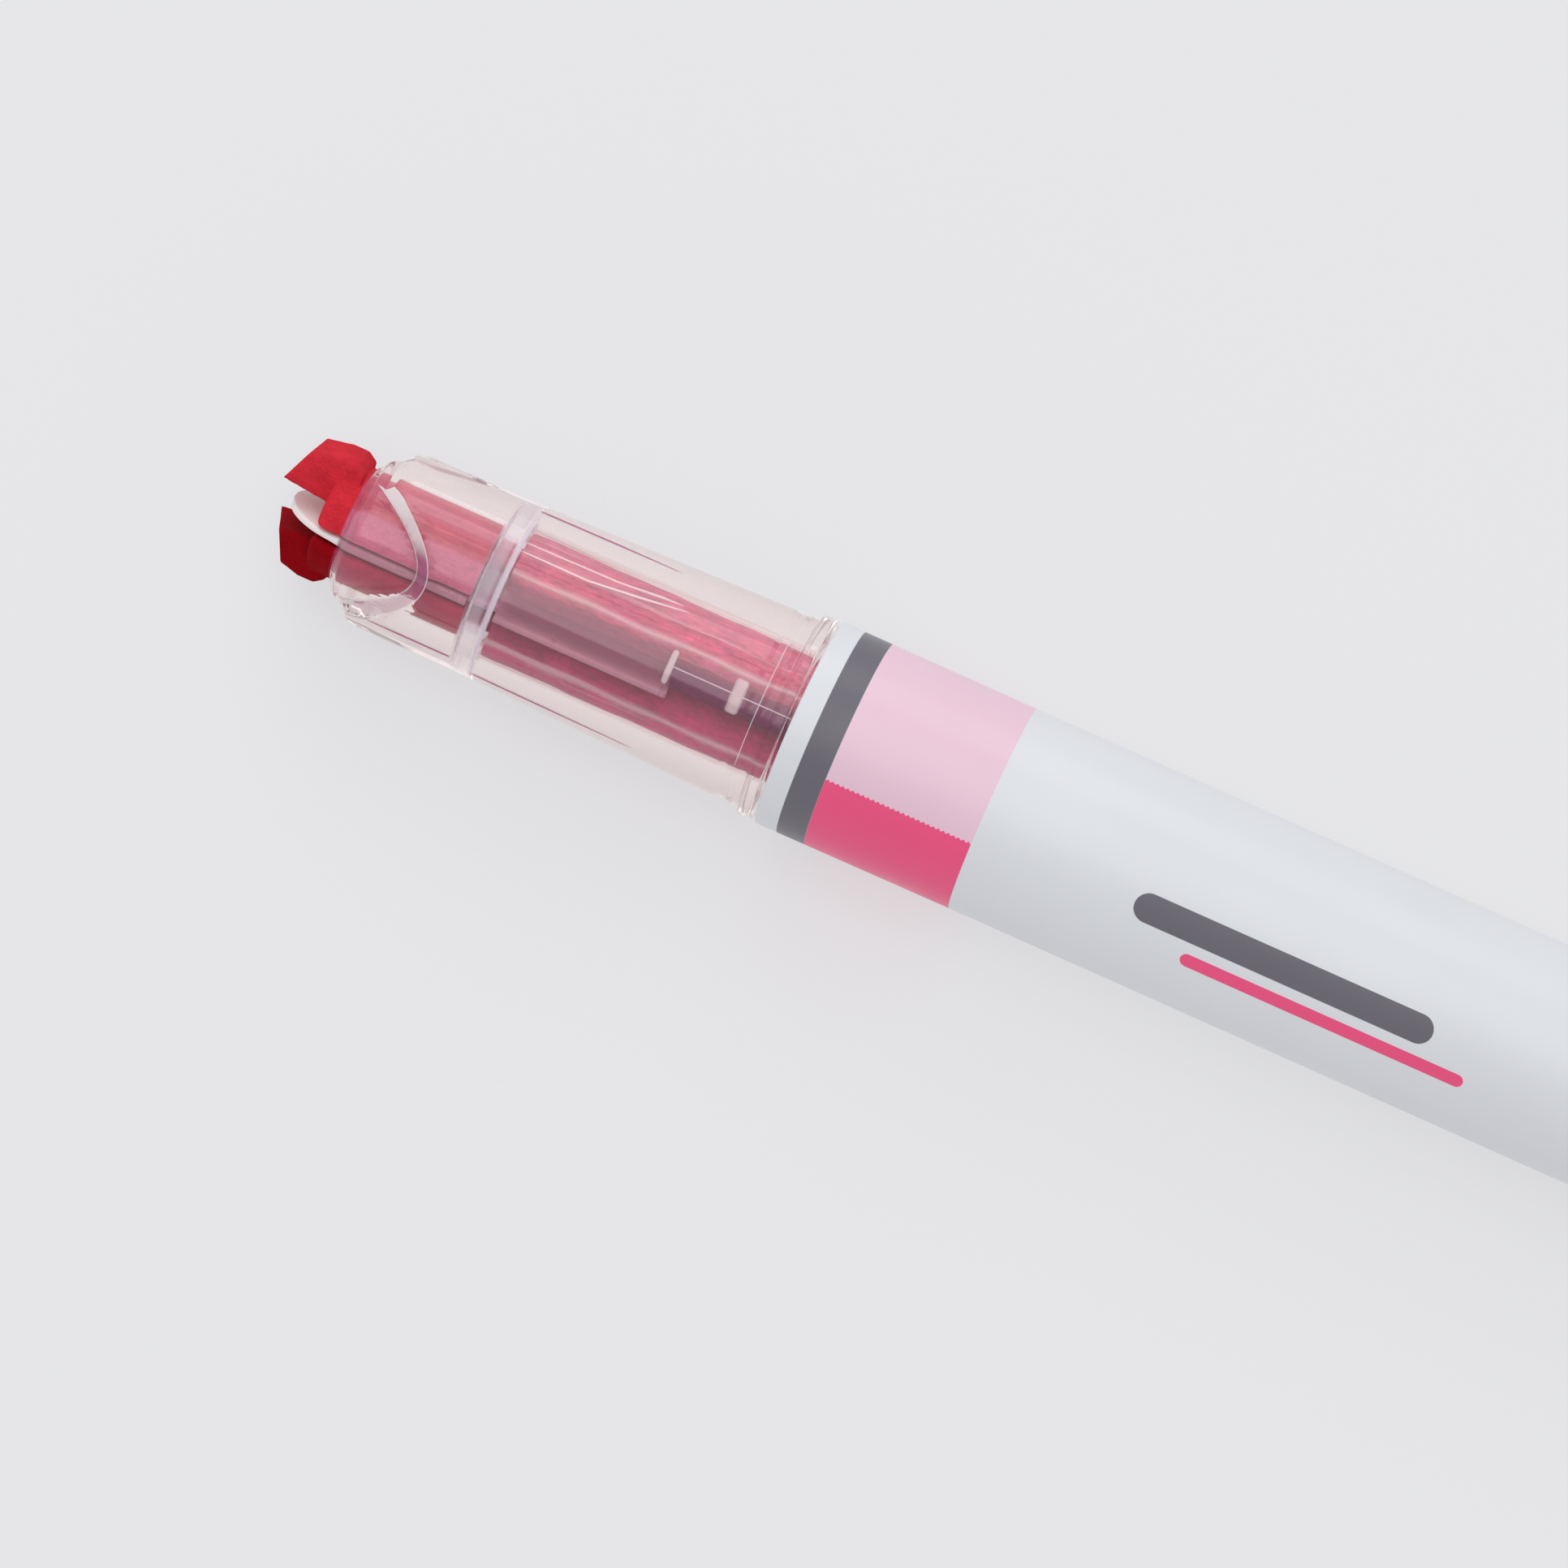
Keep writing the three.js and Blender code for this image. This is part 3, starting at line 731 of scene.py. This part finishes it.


# The holder's painted marks by colour: painted highlights, painted reflections of the ink and painted
# shade. Each has a name, the power of its density's fall to each side, the density in its middle, the
# radius at its first and last point, and points of (x, degrees from the camera's side, half width).
MARKS = {
    "lug": (
        # Painted highlights: the lugs and their bright cores, the bore's parting line as the highlight along
        # it, the edges of the web, a ring on the cone and two lines along the bore.
        ("front_lug", 4, 0.48, (3.92, 3.92), (
            (-7.4, -15.3, 0.1), (-7.4, -13, 0.2), (-7.4, -2, 0.23), (-7.4, 10, 0.2), (-7.4, 12, 0.1),
        )),
        ("front_lug_core", 4, 0.6, (3.9, 3.9), ((-7.45, -11, 0.05), (-7.45, -4, 0.09), (-7.45, 3, 0.05))),
        ("rear_lug", 4, 0.48, (3.92, 3.92), (
            (-3.37, -15.3, 0.3), (-3.37, -13, 0.41), (-3.37, -2, 0.43), (-3.37, 10, 0.41), (-3.37, 12, 0.3),
        )),
        ("rear_lug_core", 4, 0.6, (3.9, 3.9), ((-3.25, -9, 0.06), (-3.25, -4, 0.14), (-3.25, 2, 0.06))),
        ("parting_line", 4, 0.4, (3.94, 3.94), ((-7.4, -0.7, 0.045), (0.0, -0.7, 0.045))),
        ("web_front_band", 4, 0.13, (5.2, 5.2), ((-18.4, -78, 0.45), (-18.4, 78, 0.45))),
        ("web_rear_band", 4, 0.34, (5.22, 5.22), ((-17.66, -78, 0.2), (-17.66, 78, 0.2))),
        ("ring_line", 4, 0.4, (5.57, 5.57), ((-1.98, -42, 0.03), (-1.98, 44, 0.03))),
        ("low_flow_line", 4, 0.75, (3.92, 3.92), (
            (-17.7, 33.7, 0.05), (-13.5, 33.2, 0.06), (-10.5, 38, 0.08), (-7.7, 43.6, 0.03),
        )),
        ("high_flow_line", 4, 0.75, (3.92, 3.92), (
            (-17.7, 42.3, 0.04), (-12.0, 43, 0.05), (-9.5, 46.5, 0.10), (-8.1, 47.5, 0.03),
        )),
    ),
    # Painted reflections of the ink along the holder.
    "streak": (
        ("upper_streak", 4, 0.7, (5.225, 5.47), ((-17.7, 67, 0.14), (-13, 65, 0.12), (-9.0, 62.8, 0.03))),
        ("lower_streak", 4, 0.7, (5.225, 5.5), ((-17.7, -70, 0.14), (-13, -68.5, 0.12), (-7.7, -66.9, 0.03))),
        ("stem_streak", 4, 0.7, (5.17, 5.18), (
            (-24.0, -61.4, 0.05), (-22, -61.4, 0.11), (-18.9, -61.4, 0.11),
        )),
        # Painted shade over the gap between the reservoirs.
        ("front_stain", 2, 0.3, (3.85, 3.85), ((-17.6, -3, 0.9), (-7.5, -3, 0.9))),
    ),
    # Painted shade over the gap between the reservoirs, behind the plate.
    "stain": (
        ("rear_stain", 2, 0.47, (3.85, 3.85), ((-7.4, -5, 0.8), (-0.1, -5, 0.8))),
    ),
}


def make_holder_marks():
    """Painted highlights of the lugs and lines, painted reflections of the ink and painted shade on the
    holder: strips along a path round the pen, whose density is 1 - k^power from the middle (k = 0) to
    each edge (k = 1) and 1 - k^20 to each end."""
    names = {"lug": "holder_lines", "streak": "ink_streaks", "stain": "ink_stains"}
    k = np.linspace(-1, 1, 12)[None]
    for ink, marks in MARKS.items():
        finish = cover_finish(names[ink], tuple(getattr(colours(), ink)))
        for name, power, density, (first, last), path in marks:
            path = np.array(path)
            middle = np.stack([path[:, 0], first * np.radians(path[:, 1])])
            length = np.concatenate([[0], np.cumsum(np.hypot(*np.diff(middle)))])
            at = np.linspace(0, length[-1], 90)
            x, arc, half = (np.interp(at, length, row) for row in (*middle, path[:, 2]))
            along = np.gradient(x), np.gradient(arc)
            speed = np.hypot(*along)
            x = x[:, None] - (half * along[1] / speed)[:, None] * k
            arc = arc[:, None] + (half * along[0] / speed)[:, None] * k
            share = at[:, None] / length[-1]
            cover = density * (1 - k ** power) * (1 - (2 * share - 1) ** 20)
            strip(name, x, first + (last - first) * share + 0 * k, FACING - arc / first, cover, finish)


def make_nib_holder():
    """Clear holder: lip, cheeks, cone, snap groove, flange, spigot, stepped bore and web."""
    size = sizes()
    outline = rounded(holder_outline(size), closed=True, steps=3)
    outline = refined(outline, 0.42, closed=True, fine=(LIP, -20.0, 3.8, 0.1))
    piece = turned("clear_nib_holder", outline, columns=320, shape=holder_shape(size), marked=web_faces)
    clear = clear_finish("clear_plastic", (0.985, 0.87, 0.855), 0.04, 0.985)
    dress(piece, clear, "nib_holder", "barrel_body")
    piece.data.materials.append(clear_finish("matt_clear_plastic", (0.95, 0.86, 0.97), 0.22, 0.85))
    make_notch_edges(size)
    make_holder_marks()


def make_separator():
    """Separator plate: for each x its half width w(x), and a section that is the thin rounded box
    (w sgn(cos t) |cos t|^0.2, h sgn(sin t) |sin t|^0.5) across the pen, h being a third more between the
    nibs' stems. The rear end slants, so its x gains 0.14 w - 0.54."""
    thick = sizes()["plate_thickness"] / 2
    tongue, front, rear, waist = 3.85, 3.2, 3.85, 2.6
    stem_rear = -19.2
    nose = PLATE_TIP + tongue * (1 - np.cos(np.linspace(0.06, np.pi / 2, 24)))
    body = np.array([
        -25, -23, -21, stem_rear - 0.05, stem_rear, RESERVOIR_FRONT, RESERVOIR_FRONT + 0.05,
        -15, -12, -10, -8.3, -7.4, -7.15, -7.05, PLATE_END,
    ])
    x = np.concatenate([nose, body])
    half = np.interp(
        x,
        [stem_rear - 0.05, stem_rear, RESERVOIR_FRONT, RESERVOIR_FRONT + 0.05, -7.15, PLATE_END],
        [front, waist, waist, rear, rear, rear - 0.12],
    )
    half[:24] = front * np.sqrt(np.clip(1 - ((PLATE_TIP + tongue - nose) / tongue) ** 2, 0.001, 1))
    t = np.linspace(0, 2 * np.pi, 96, endpoint=False)
    wide = np.sign(np.cos(t)) * np.abs(np.cos(t)) ** 0.2
    high = np.sign(np.sin(t)) * np.abs(np.sin(t)) ** 0.5
    rim = np.clip(half, 0, 0.35) / 0.35
    swell = 1 + 0.35 * soft_step((x - LIP + 0.6) / 0.6) * soft_step((stem_rear - x) / 0.05)
    slanted = soft_step((x[:, None] + 8.3) / 1.3)
    points = np.stack([
        x[:, None] + slanted * (0.14 * half[:, None] * wide[None] - 0.54),
        thick * high[None] * (rim * swell)[:, None],
        half[:, None] * wide[None],
    ], axis=-1)
    piece = surface("separator_tongue", points, ring=False, turn=SPLIT_TILT)
    dress(piece, milky_finish(), "separator_plate", "barrel_body")


def nib_points(size, low, high, slant, skew):
    """Nib on the +Y side: sections of the blade, then of the stem, each a rounded outline about a
    middle beside the plate. The stem's is the part y > flat_side of a circle of the stem's radius; the
    blade's is a rounded rectangle from low to high, both of which spread outwards towards the stem,
    and its front slants as x = tip + slant (y - low) + skew (half width - z). Behind the shoulder a
    section is whichever of the two reaches further, so the blade's crest runs out into the stem."""
    radius, half_blade = size["stem_radius"], size["blade_width"] / 2
    t = np.linspace(0, 2 * np.pi, 128, endpoint=False)
    cos, sin = np.cos(t), np.sin(t)
    middle, flat_side, spread = 1.8, 0.36, 0.3

    def stem_reach(shrink):
        """How far a ray from the middle goes to the flat side or the round side, softened."""
        flat = np.where(cos < 0, (middle - flat_side) / np.maximum(-cos, 1e-6), 1e3)
        b = middle * cos
        arc = -b + np.sqrt(b * b + radius * radius - middle * middle)
        return (flat ** -24.0 + arc ** -24.0) ** (-1 / 24) - shrink

    def blade_reach(bottom, top, shrink=0.0):
        """The same to a rounded rectangle from bottom to top and half_blade to each side."""
        far = np.where(cos > 0, top - middle, middle - bottom)
        return ((np.abs(cos) / far) ** 16 + (np.abs(sin) / half_blade) ** 16) ** (-1 / 16) - shrink

    rows = []

    def row(x, reach, share=0.0):
        """A section at x, its slant fading with share."""
        y, z = middle + reach * cos, reach * sin
        rows.append(np.stack([x + share * (slant * (y - low) + skew * (half_blade - z)), y, z], axis=-1))

    for x, shrink in ((0.0, 0.2), (0.0, 0.08), (0.02, 0.03), (0.07, 0.0)):
        row(NIB_TIP + x, blade_reach(low, high, shrink), 1.0)
    for share in np.linspace(0.1, 1, 8):
        reach = blade_reach(low - spread * share, high + spread * share)
        row(NIB_TIP + 0.07 + 2.55 * share, reach, 1 - share)
    crest = high + spread
    row(SHOULDER, blade_reach(low - spread, crest))
    for behind, shrink, top in (
        (0.08, 0.9, crest), (0.14, 0.5, crest), (0.22, 0.25, crest), (0.35, 0.1, crest),
        (0.55, 0.02, crest), (0.75, 0.0, crest), (0.9, 0.0, crest - 0.02), (1.05, 0.0, crest - 0.12),
        (1.2, 0.0, crest - 0.23), (1.35, 0.0, crest - 0.34), (1.45, 0.0, crest - 0.46), (1.5, 0.0, 2.9),
    ):
        row(SHOULDER + behind, np.maximum(stem_reach(shrink), blade_reach(1.2, top)))
    for x in np.linspace(SHOULDER + 1.55, STEM_END - 0.2, 28):
        row(x, stem_reach(0.0))
    row(STEM_END - 0.02, stem_reach(0.05))
    row(STEM_END, stem_reach(0.3))
    for x, pin in ((STEM_END, 1.0), (-19.0, 0.85), (-14.8, 0.85), (-14.5, 0.5)):
        row(x, pin)
    return np.stack(rows)


def painted_veil_bands(points):
    """Where a stem is paler by a painted reflection veil: a strip along each edge of its flat side, and a
    narrower, fainter one further round, by the angle about the pen's axis."""
    angle = np.degrees(np.abs(np.arctan2(points[..., 2], points[..., 1])))
    beside = soft_step((angle - 50) / 5)
    further = 0.35 * soft_step((angle - 14) / 6) * soft_step((38 - angle) / 6)
    return np.maximum(beside, further)


def make_nibs():
    """The two nibs, half a turn apart, each with its blade's low, high, slant and skew."""
    size, inks = sizes(), colours()
    for name, turn, blade in (
        ("light", 0.0, (1.52, 3.5, 0.45, 0.08)),
        ("dark", math.pi, (1.42, 3.3, 0.40, 0.25)),
    ):
        felt, tip, band = (tuple(getattr(inks, f"{name}_{part}")) for part in ("felt", "tip", "band"))
        points = nib_points(size, *blade)
        piece = surface(
            f"{name}_chisel_nib", points, ring=False, turn=SPLIT_TILT + turn, sharp=50,
            masks={"band": painted_veil_bands(points)},
        )
        finish = fibre_finish(f"{name}_felt", felt, 9000.0, 0.6, 0.6, 0.00008, tip, band)
        dress(piece, finish, f"{name}_nib", "barrel_body")


RESERVOIR_OFFSET = 2.04
RESERVOIR_HALF = (1.58, 2.88)


def oval_rows(x, grow, columns, wave=None):
    """Points (x, offset + a cos t, b sin t) of an oval bar, a and b grown by grow, plus wave(x, t)."""
    t = np.linspace(0, 2 * np.pi, columns, endpoint=False)[None]
    x = x[:, None]
    extra = grow if wave is None else grow + wave(x, t)
    a, b = RESERVOIR_HALF[0] + extra, RESERVOIR_HALF[1] + extra
    return np.stack(
        np.broadcast_arrays(x, RESERVOIR_OFFSET + a * np.cos(t), b * np.sin(t)), axis=-1
    )


def reservoir_stations():
    """x of the sections: close together where the holder shows them, wider in the barrel."""
    return np.concatenate([np.arange(RESERVOIR_FRONT, 12, 0.25), np.linspace(12, RESERVOIR_END, 24)])


def make_reservoirs():
    """Fibre bundles, with a slight lumpiness along them."""
    for name, turn in (("light", 0.0), ("dark", math.pi)):
        def lumps(x, t, phase=turn):
            """Low waves round and along: 0.02 sin(1.1 x + 2 t + phase) + 0.01 sin(2.7 x - 3 t)."""
            return 0.02 * np.sin(1.1 * x + 2 * t + phase) + 0.01 * np.sin(2.7 * x - 3 * t) - 0.03

        points = oval_rows(reservoir_stations(), 0.0, 96, lumps)
        piece = surface(f"{name}_fibre_core", points, ring=False, turn=SPLIT_TILT + turn)
        ink = tuple(getattr(colours(), f"{name}_fibre"))
        finish = fibre_finish(f"{name}_fibre", ink, 5200.0, 0.45, 1.1, 0.00006)
        dress(piece, finish, f"{name}_reservoir", "barrel_body")


def highlight_streaks(x, t, seam, draw):
    """Sum of painted highlight streaks exp(-((t - t_k(x)) / w_k)^2) along a film, each with a middle t_k
    that wanders as a sine of x and with a rise and fall in strength. The first is the film's welded seam,
    drawn as a painted highlight, which runs its whole length."""
    total = 0.0
    for k in range(17):
        middle = seam if k == 0 else draw.uniform(0, 2 * np.pi)
        wander = draw.uniform(0.01, 0.03) * np.sin(draw.uniform(0.7, 1.6) * x + draw.uniform(0, 6))
        drift = 0.0 if k == 0 else draw.uniform(-0.006, 0.006) * x
        width = 0.085 * (1 + 0.2 * np.sin(1.3 * x + k)) if k == 0 else draw.uniform(0.02, 0.05)
        centre, reach = draw.uniform(-16, 6), draw.uniform(2, 6)
        fade = 1.0 if k == 0 else 0.5 * np.exp(-(((x - centre) / reach) ** 2))
        streak = np.exp(-((turn_from(t, middle + wander + drift) / width) ** 2))
        total = total + fade * streak
    return np.clip(total, 0, 1)


def make_films():
    """Films: a thin tube round each bundle, the outer face rippled by long waves whose crests wander,
    and the inner face the same less the thickness."""
    # The film's opacity rises along painted highlight streaks.
    film = cover_finish("reservoir_film", tuple(colours().film), "crease", 0.04, 0.5)
    wrinkle = 1.6 * sizes()["wrinkle"]
    gap, thickness, columns, count = 0.06, 0.04, 288, 10
    for name, turn, seam, seed in (("light", 0.0, 74, 3), ("dark", math.pi, -100, 11)):
        draw = np.random.default_rng(seed)
        rounds = draw.integers(5, 17, count)
        rates = draw.uniform(0.12, 0.7, count)
        phases = draw.uniform(0, 2 * np.pi, count)
        sway = draw.uniform(0.2, 1.2, count)

        def ripple(x, t):
            """Mean of waves sin(n t + phase + sway sin(rate x)), scaled to the wrinkle's height."""
            waves = sum(
                np.sin(n * t + phase + reach * np.sin(rate * x + phase))
                for n, rate, phase, reach in zip(rounds, rates, phases, sway)
            )
            return wrinkle * waves / count

        x = reservoir_stations()
        outer = oval_rows(x, gap + thickness, columns, ripple)
        inner = oval_rows(x[::-1], gap, columns, ripple)
        t = np.linspace(0, 2 * np.pi, columns, endpoint=False)[None]
        # Painted highlight streaks along the film, the first standing for its welded seam.
        streaks = highlight_streaks(x[:, None], t, math.radians(seam), draw)
        streaks = np.concatenate([streaks, 0 * streaks])
        piece = surface(
            f"{name}_wrap", np.concatenate([outer, inner]), turn=SPLIT_TILT + turn,
            masks={"crease": streaks},
        )
        dress(piece, film, f"{name}_reservoir_film", "barrel_body")


def make_cap():
    """Cap shell with its rim and slotted crown, and the soft inner cap."""
    cap_x, crown = CAP_LOW.x, CAP_LENGTH
    shell = rounded([
        (36.3, 0), (36.3, 5.3, 0.3), (20.2, 5.3, 0.1), (20.2, 5.8, 0.1), (0.5, 5.8, 0.3), (0, 6.1, 0.05),
        (0, 6.985, 0.25), (2.2, 6.985, 0.12), (2.6, 6.85, 0.12), (crown - 1.8, 6.45, 1.4),
        (crown, 5.9, 0.7), (crown, 0),
    ])
    half_slot, slot_floor, slot_front, slot_rear = 2.45, 4.2, 37.3, 40.1

    def slot(x, radius, angle):
        """Radius lowered to the slot's floor where x and the distance round lie inside it."""
        off = turn_from(angle, CLIP_ANGLE)
        aside = np.abs(radius * np.sin(np.clip(off, -1.5, 1.5)))
        beside = (aside < half_slot) & (np.abs(off) < 0.7) & (radius > 6)
        return np.where(beside & (x > slot_front) & (x < slot_rear), slot_floor, radius)

    outline = refined(shell, 1.0, fine=(36.9, 40.6, 6.0, 0.1))
    piece = turned("cap_sleeve", outline, columns=288, x0=cap_x, shape=slot)
    dress(piece, white_finish(), "cap_shell", "cap_body")

    cup = rounded([
        (34.6, 0), (34.6, 4.0, 0.3), (34.1, 4.3, 0.3), (26.6, 4.3, 0.2), (26.1, 4.6, 0.1),
        (26.4, 5.1, 0.2), (36.1, 5.1, 0.2), (36.1, 0),
    ])
    inner = turned("inner_seal_cup", refined(cup, 1.0), x0=cap_x)
    soft = moulded_finish("soft_plastic", (0.78, 0.78, 0.76), 0.55)
    dress(inner, soft, "inner_cap", "cap_body")


def make_clip():
    """Clip: at each station s its under and upper radius and half width, and a section that is the
    rounded rectangle (w |cos t|^0.25, h |sin t|^0.25) with the signs of cos and sin."""
    s = np.concatenate([
        np.linspace(4.6, 6.0, 12), np.linspace(6.2, 12, 24), np.linspace(12.5, 37, 30),
        np.array([37.45, 37.55, 37.6, 37.65, 38, 39, 39.75, 39.8, 39.85, 39.95, 40.05, 40.15, 40.2]),
    ])
    under = np.interp(
        s, [4.6, 6, 8.4, 12, 37.55, 37.6, 39.8, 39.85, 40.2], [7.5, 7.1, 7.1, 7.3, 7.3, 4.6, 4.6, 6.8, 6.9]
    )
    upper = np.interp(s, [4.6, 5.2, 39.4, 40.2], [8.1, 8.5, 8.5, 7.9])
    half = np.interp(s, [4.6, 6, 30, 40.2], [1.9, 2.05, 2.2, 2.2])
    nose = np.sqrt(np.clip(1 - ((5.6 - s) / 1.05) ** 2, 0.02, 1))
    half = np.where(s < 5.6, half * (0.45 + 0.55 * nose), half)
    t = np.linspace(0, 2 * np.pi, 64, endpoint=False)
    wide = np.sign(np.cos(t)) * np.abs(np.cos(t)) ** 0.25
    high = np.sign(np.sin(t)) * np.abs(np.sin(t)) ** 0.25
    middle, rise = (under + upper) / 2, (upper - under) / 2
    points = np.stack([
        np.broadcast_to(s[:, None], (len(s), len(t))),
        middle[:, None] + rise[:, None] * high,
        half[:, None] * wide,
    ], axis=-1)
    piece = surface("pocket_clip", points, ring=False, turn=CLIP_ANGLE, x0=CAP_LOW.x)
    dress(piece, white_finish(), "clip", "clip_body")


# ---------------------------------------------------------------- stage


def floor_finish():
    """Matt floor with a very faint tooth, lit from below as on a light table."""
    material, shader = node_tree("stage_floor")
    tree = material.node_tree
    place = tree.nodes.new("ShaderNodeTexCoord").outputs["Object"]
    tooth = add(tree, "ShaderNodeTexNoise", {"Vector": place, "Scale": 1500.0, "Detail": 3.0})
    base = tuple(colours().floor)
    tone = mixed(tree, tooth.outputs[0], tuple(0.985 * c for c in base), base)
    tree.links.new(tone, shader.inputs["Base Color"])
    shader.inputs["Roughness"].default_value = 0.9
    shader.inputs["Specular IOR Level"].default_value = 0.2
    shader.inputs["Emission Color"].default_value = (1.0, 1.0, 1.02, 1.0)
    shader.inputs["Emission Strength"].default_value = 0.545
    return material


def softbox(name, direction, distance, size, power):
    """Square area light at that distance from the pen along direction, facing it."""
    data = bpy.data.lights.new(name, "AREA")
    data.shape = "SQUARE"
    data.size = size
    data.energy = power
    lamp = bpy.data.objects.new(name, data)
    bpy.context.scene.collection.objects.link(lamp)
    aim = Vector((COLLAR_X, 0, AXIS_Z))
    toward = Vector(direction).normalized()
    lamp.location = aim + toward * distance
    lamp.rotation_mode = "QUATERNION"
    lamp.rotation_quaternion = (-toward).to_track_quat("-Z", "Y")


def make_stage():
    """Floor that touches the cap's rim and the collar, soft lights, even surroundings and camera."""
    scene = bpy.context.scene
    settings = scene.highlighter_stage
    rim_x, collar_low = CAP_LOW.x, BARREL_LOW.z
    slope = (CAP_LOW.z - collar_low) / (rim_x - COLLAR_X)
    half = 3.0
    corners = np.array([(-half, -half), (half, -half), (half, half), (-half, half)])
    heights = CAP_LOW.z + slope * (corners[:, 0] - rim_x)
    mesh = bpy.data.meshes.new("stage_floor")
    mesh.from_pydata(np.column_stack([corners, heights]), [], [(0, 1, 2, 3)])
    mesh.materials.append(floor_finish())
    floor = bpy.data.objects.new("stage_floor", mesh)
    scene.collection.objects.link(floor)

    world = bpy.data.worlds.new("even_light")
    world.use_nodes = True
    background = world.node_tree.nodes["Background"]
    background.inputs[0].default_value = (0.99, 0.995, 1.0, 1.0)
    background.inputs[1].default_value = settings.ambient
    scene.world = world

    softbox("overhead_softbox", (-0.15, 0.05, 0.98), 0.9, 0.8, settings.overhead)
    softbox("side_softbox", (-0.30, 0.85, 0.55), 1.2, 0.8, settings.side)

    azimuth, elevation = settings.azimuth, settings.elevation
    back = Vector((
        math.sin(azimuth) * math.cos(elevation),
        -math.cos(azimuth) * math.cos(elevation),
        math.sin(elevation),
    ))
    aim = Vector((COLLAR_X + 0.6 * MM, -3.4 * MM, AXIS_Z - 0.58 * MM))
    data = bpy.data.cameras.new("camera")
    data.lens = settings.lens
    data.sensor_width = 36.0
    data.clip_start, data.clip_end = 0.01, 20
    camera = bpy.data.objects.new("camera", data)
    camera.location = aim + back * settings.distance
    camera.rotation_mode = "QUATERNION"
    camera.rotation_quaternion = (-back).to_track_quat("-Z", "Y")
    scene.collection.objects.link(camera)
    scene.camera = camera
    scene.view_settings.view_transform = "Standard"


# ---------------------------------------------------------------- operators


class HIGHLIGHTER_OT_barrel(bpy.types.Operator):
    """Make the printed barrel and its tail plug"""

    bl_idname = "highlighter.barrel"
    bl_label = "Barrel and tail plug"

    def execute(self, context):
        make_barrel()
        make_tail_plug()
        return {"FINISHED"}


class HIGHLIGHTER_OT_nib_holder(bpy.types.Operator):
    """Make the clear nib holder"""

    bl_idname = "highlighter.nib_holder"
    bl_label = "Clear nib holder"

    def execute(self, context):
        make_nib_holder()
        return {"FINISHED"}


class HIGHLIGHTER_OT_separator(bpy.types.Operator):
    """Make the milky plate between the two inks"""

    bl_idname = "highlighter.separator"
    bl_label = "Separator plate"

    def execute(self, context):
        make_separator()
        return {"FINISHED"}


class HIGHLIGHTER_OT_nibs(bpy.types.Operator):
    """Make the two felt nibs"""

    bl_idname = "highlighter.nibs"
    bl_label = "Nibs"

    def execute(self, context):
        make_nibs()
        return {"FINISHED"}


class HIGHLIGHTER_OT_reservoirs(bpy.types.Operator):
    """Make the two fibre reservoirs and the films round them"""

    bl_idname = "highlighter.reservoirs"
    bl_label = "Reservoirs and films"

    def execute(self, context):
        make_reservoirs()
        make_films()
        return {"FINISHED"}


class HIGHLIGHTER_OT_cap(bpy.types.Operator):
    """Make the cap, its inner cap and its clip"""

    bl_idname = "highlighter.cap"
    bl_label = "Cap and clip"

    def execute(self, context):
        make_cap()
        make_clip()
        return {"FINISHED"}


class HIGHLIGHTER_OT_stage(bpy.types.Operator):
    """Make the floor, the lights and the camera"""

    bl_idname = "highlighter.stage"
    bl_label = "Stage"

    def execute(self, context):
        make_stage()
        return {"FINISHED"}


OPERATORS = (
    HIGHLIGHTER_OT_stage,
    HIGHLIGHTER_OT_barrel,
    HIGHLIGHTER_OT_nib_holder,
    HIGHLIGHTER_OT_separator,
    HIGHLIGHTER_OT_nibs,
    HIGHLIGHTER_OT_reservoirs,
    HIGHLIGHTER_OT_cap,
)


class HIGHLIGHTER_PT_panel(bpy.types.Panel):
    """Sidebar panel with the settings and one button for each group of pieces"""

    bl_idname = "HIGHLIGHTER_PT_panel"
    bl_label = "Highlighter"
    bl_space_type = "VIEW_3D"
    bl_region_type = "UI"
    bl_category = "Highlighter"

    def draw(self, context):
        scene = context.scene
        for group, kind in (
            (scene.highlighter_sizes, HighlighterSizes),
            (scene.highlighter_colours, HighlighterColours),
            (scene.highlighter_stage, HighlighterStage),
        ):
            box = self.layout.box()
            for key in kind.__annotations__:
                box.prop(group, key)
        for operator in OPERATORS:
            self.layout.operator(operator.bl_idname)


CLASSES = (HighlighterSizes, HighlighterColours, HighlighterStage, *OPERATORS, HIGHLIGHTER_PT_panel)


def register():
    for kind in CLASSES:
        bpy.utils.register_class(kind)
    bpy.types.Scene.highlighter_sizes = PointerProperty(type=HighlighterSizes)
    bpy.types.Scene.highlighter_colours = PointerProperty(type=HighlighterColours)
    bpy.types.Scene.highlighter_stage = PointerProperty(type=HighlighterStage)


def unregister():
    del bpy.types.Scene.highlighter_stage
    del bpy.types.Scene.highlighter_colours
    del bpy.types.Scene.highlighter_sizes
    for kind in reversed(CLASSES):
        bpy.utils.unregister_class(kind)


def main():
    register()
    for operator in OPERATORS:
        section, name = operator.bl_idname.split(".")
        getattr(getattr(bpy.ops, section), name)()


if __name__ == "__main__":
    main()
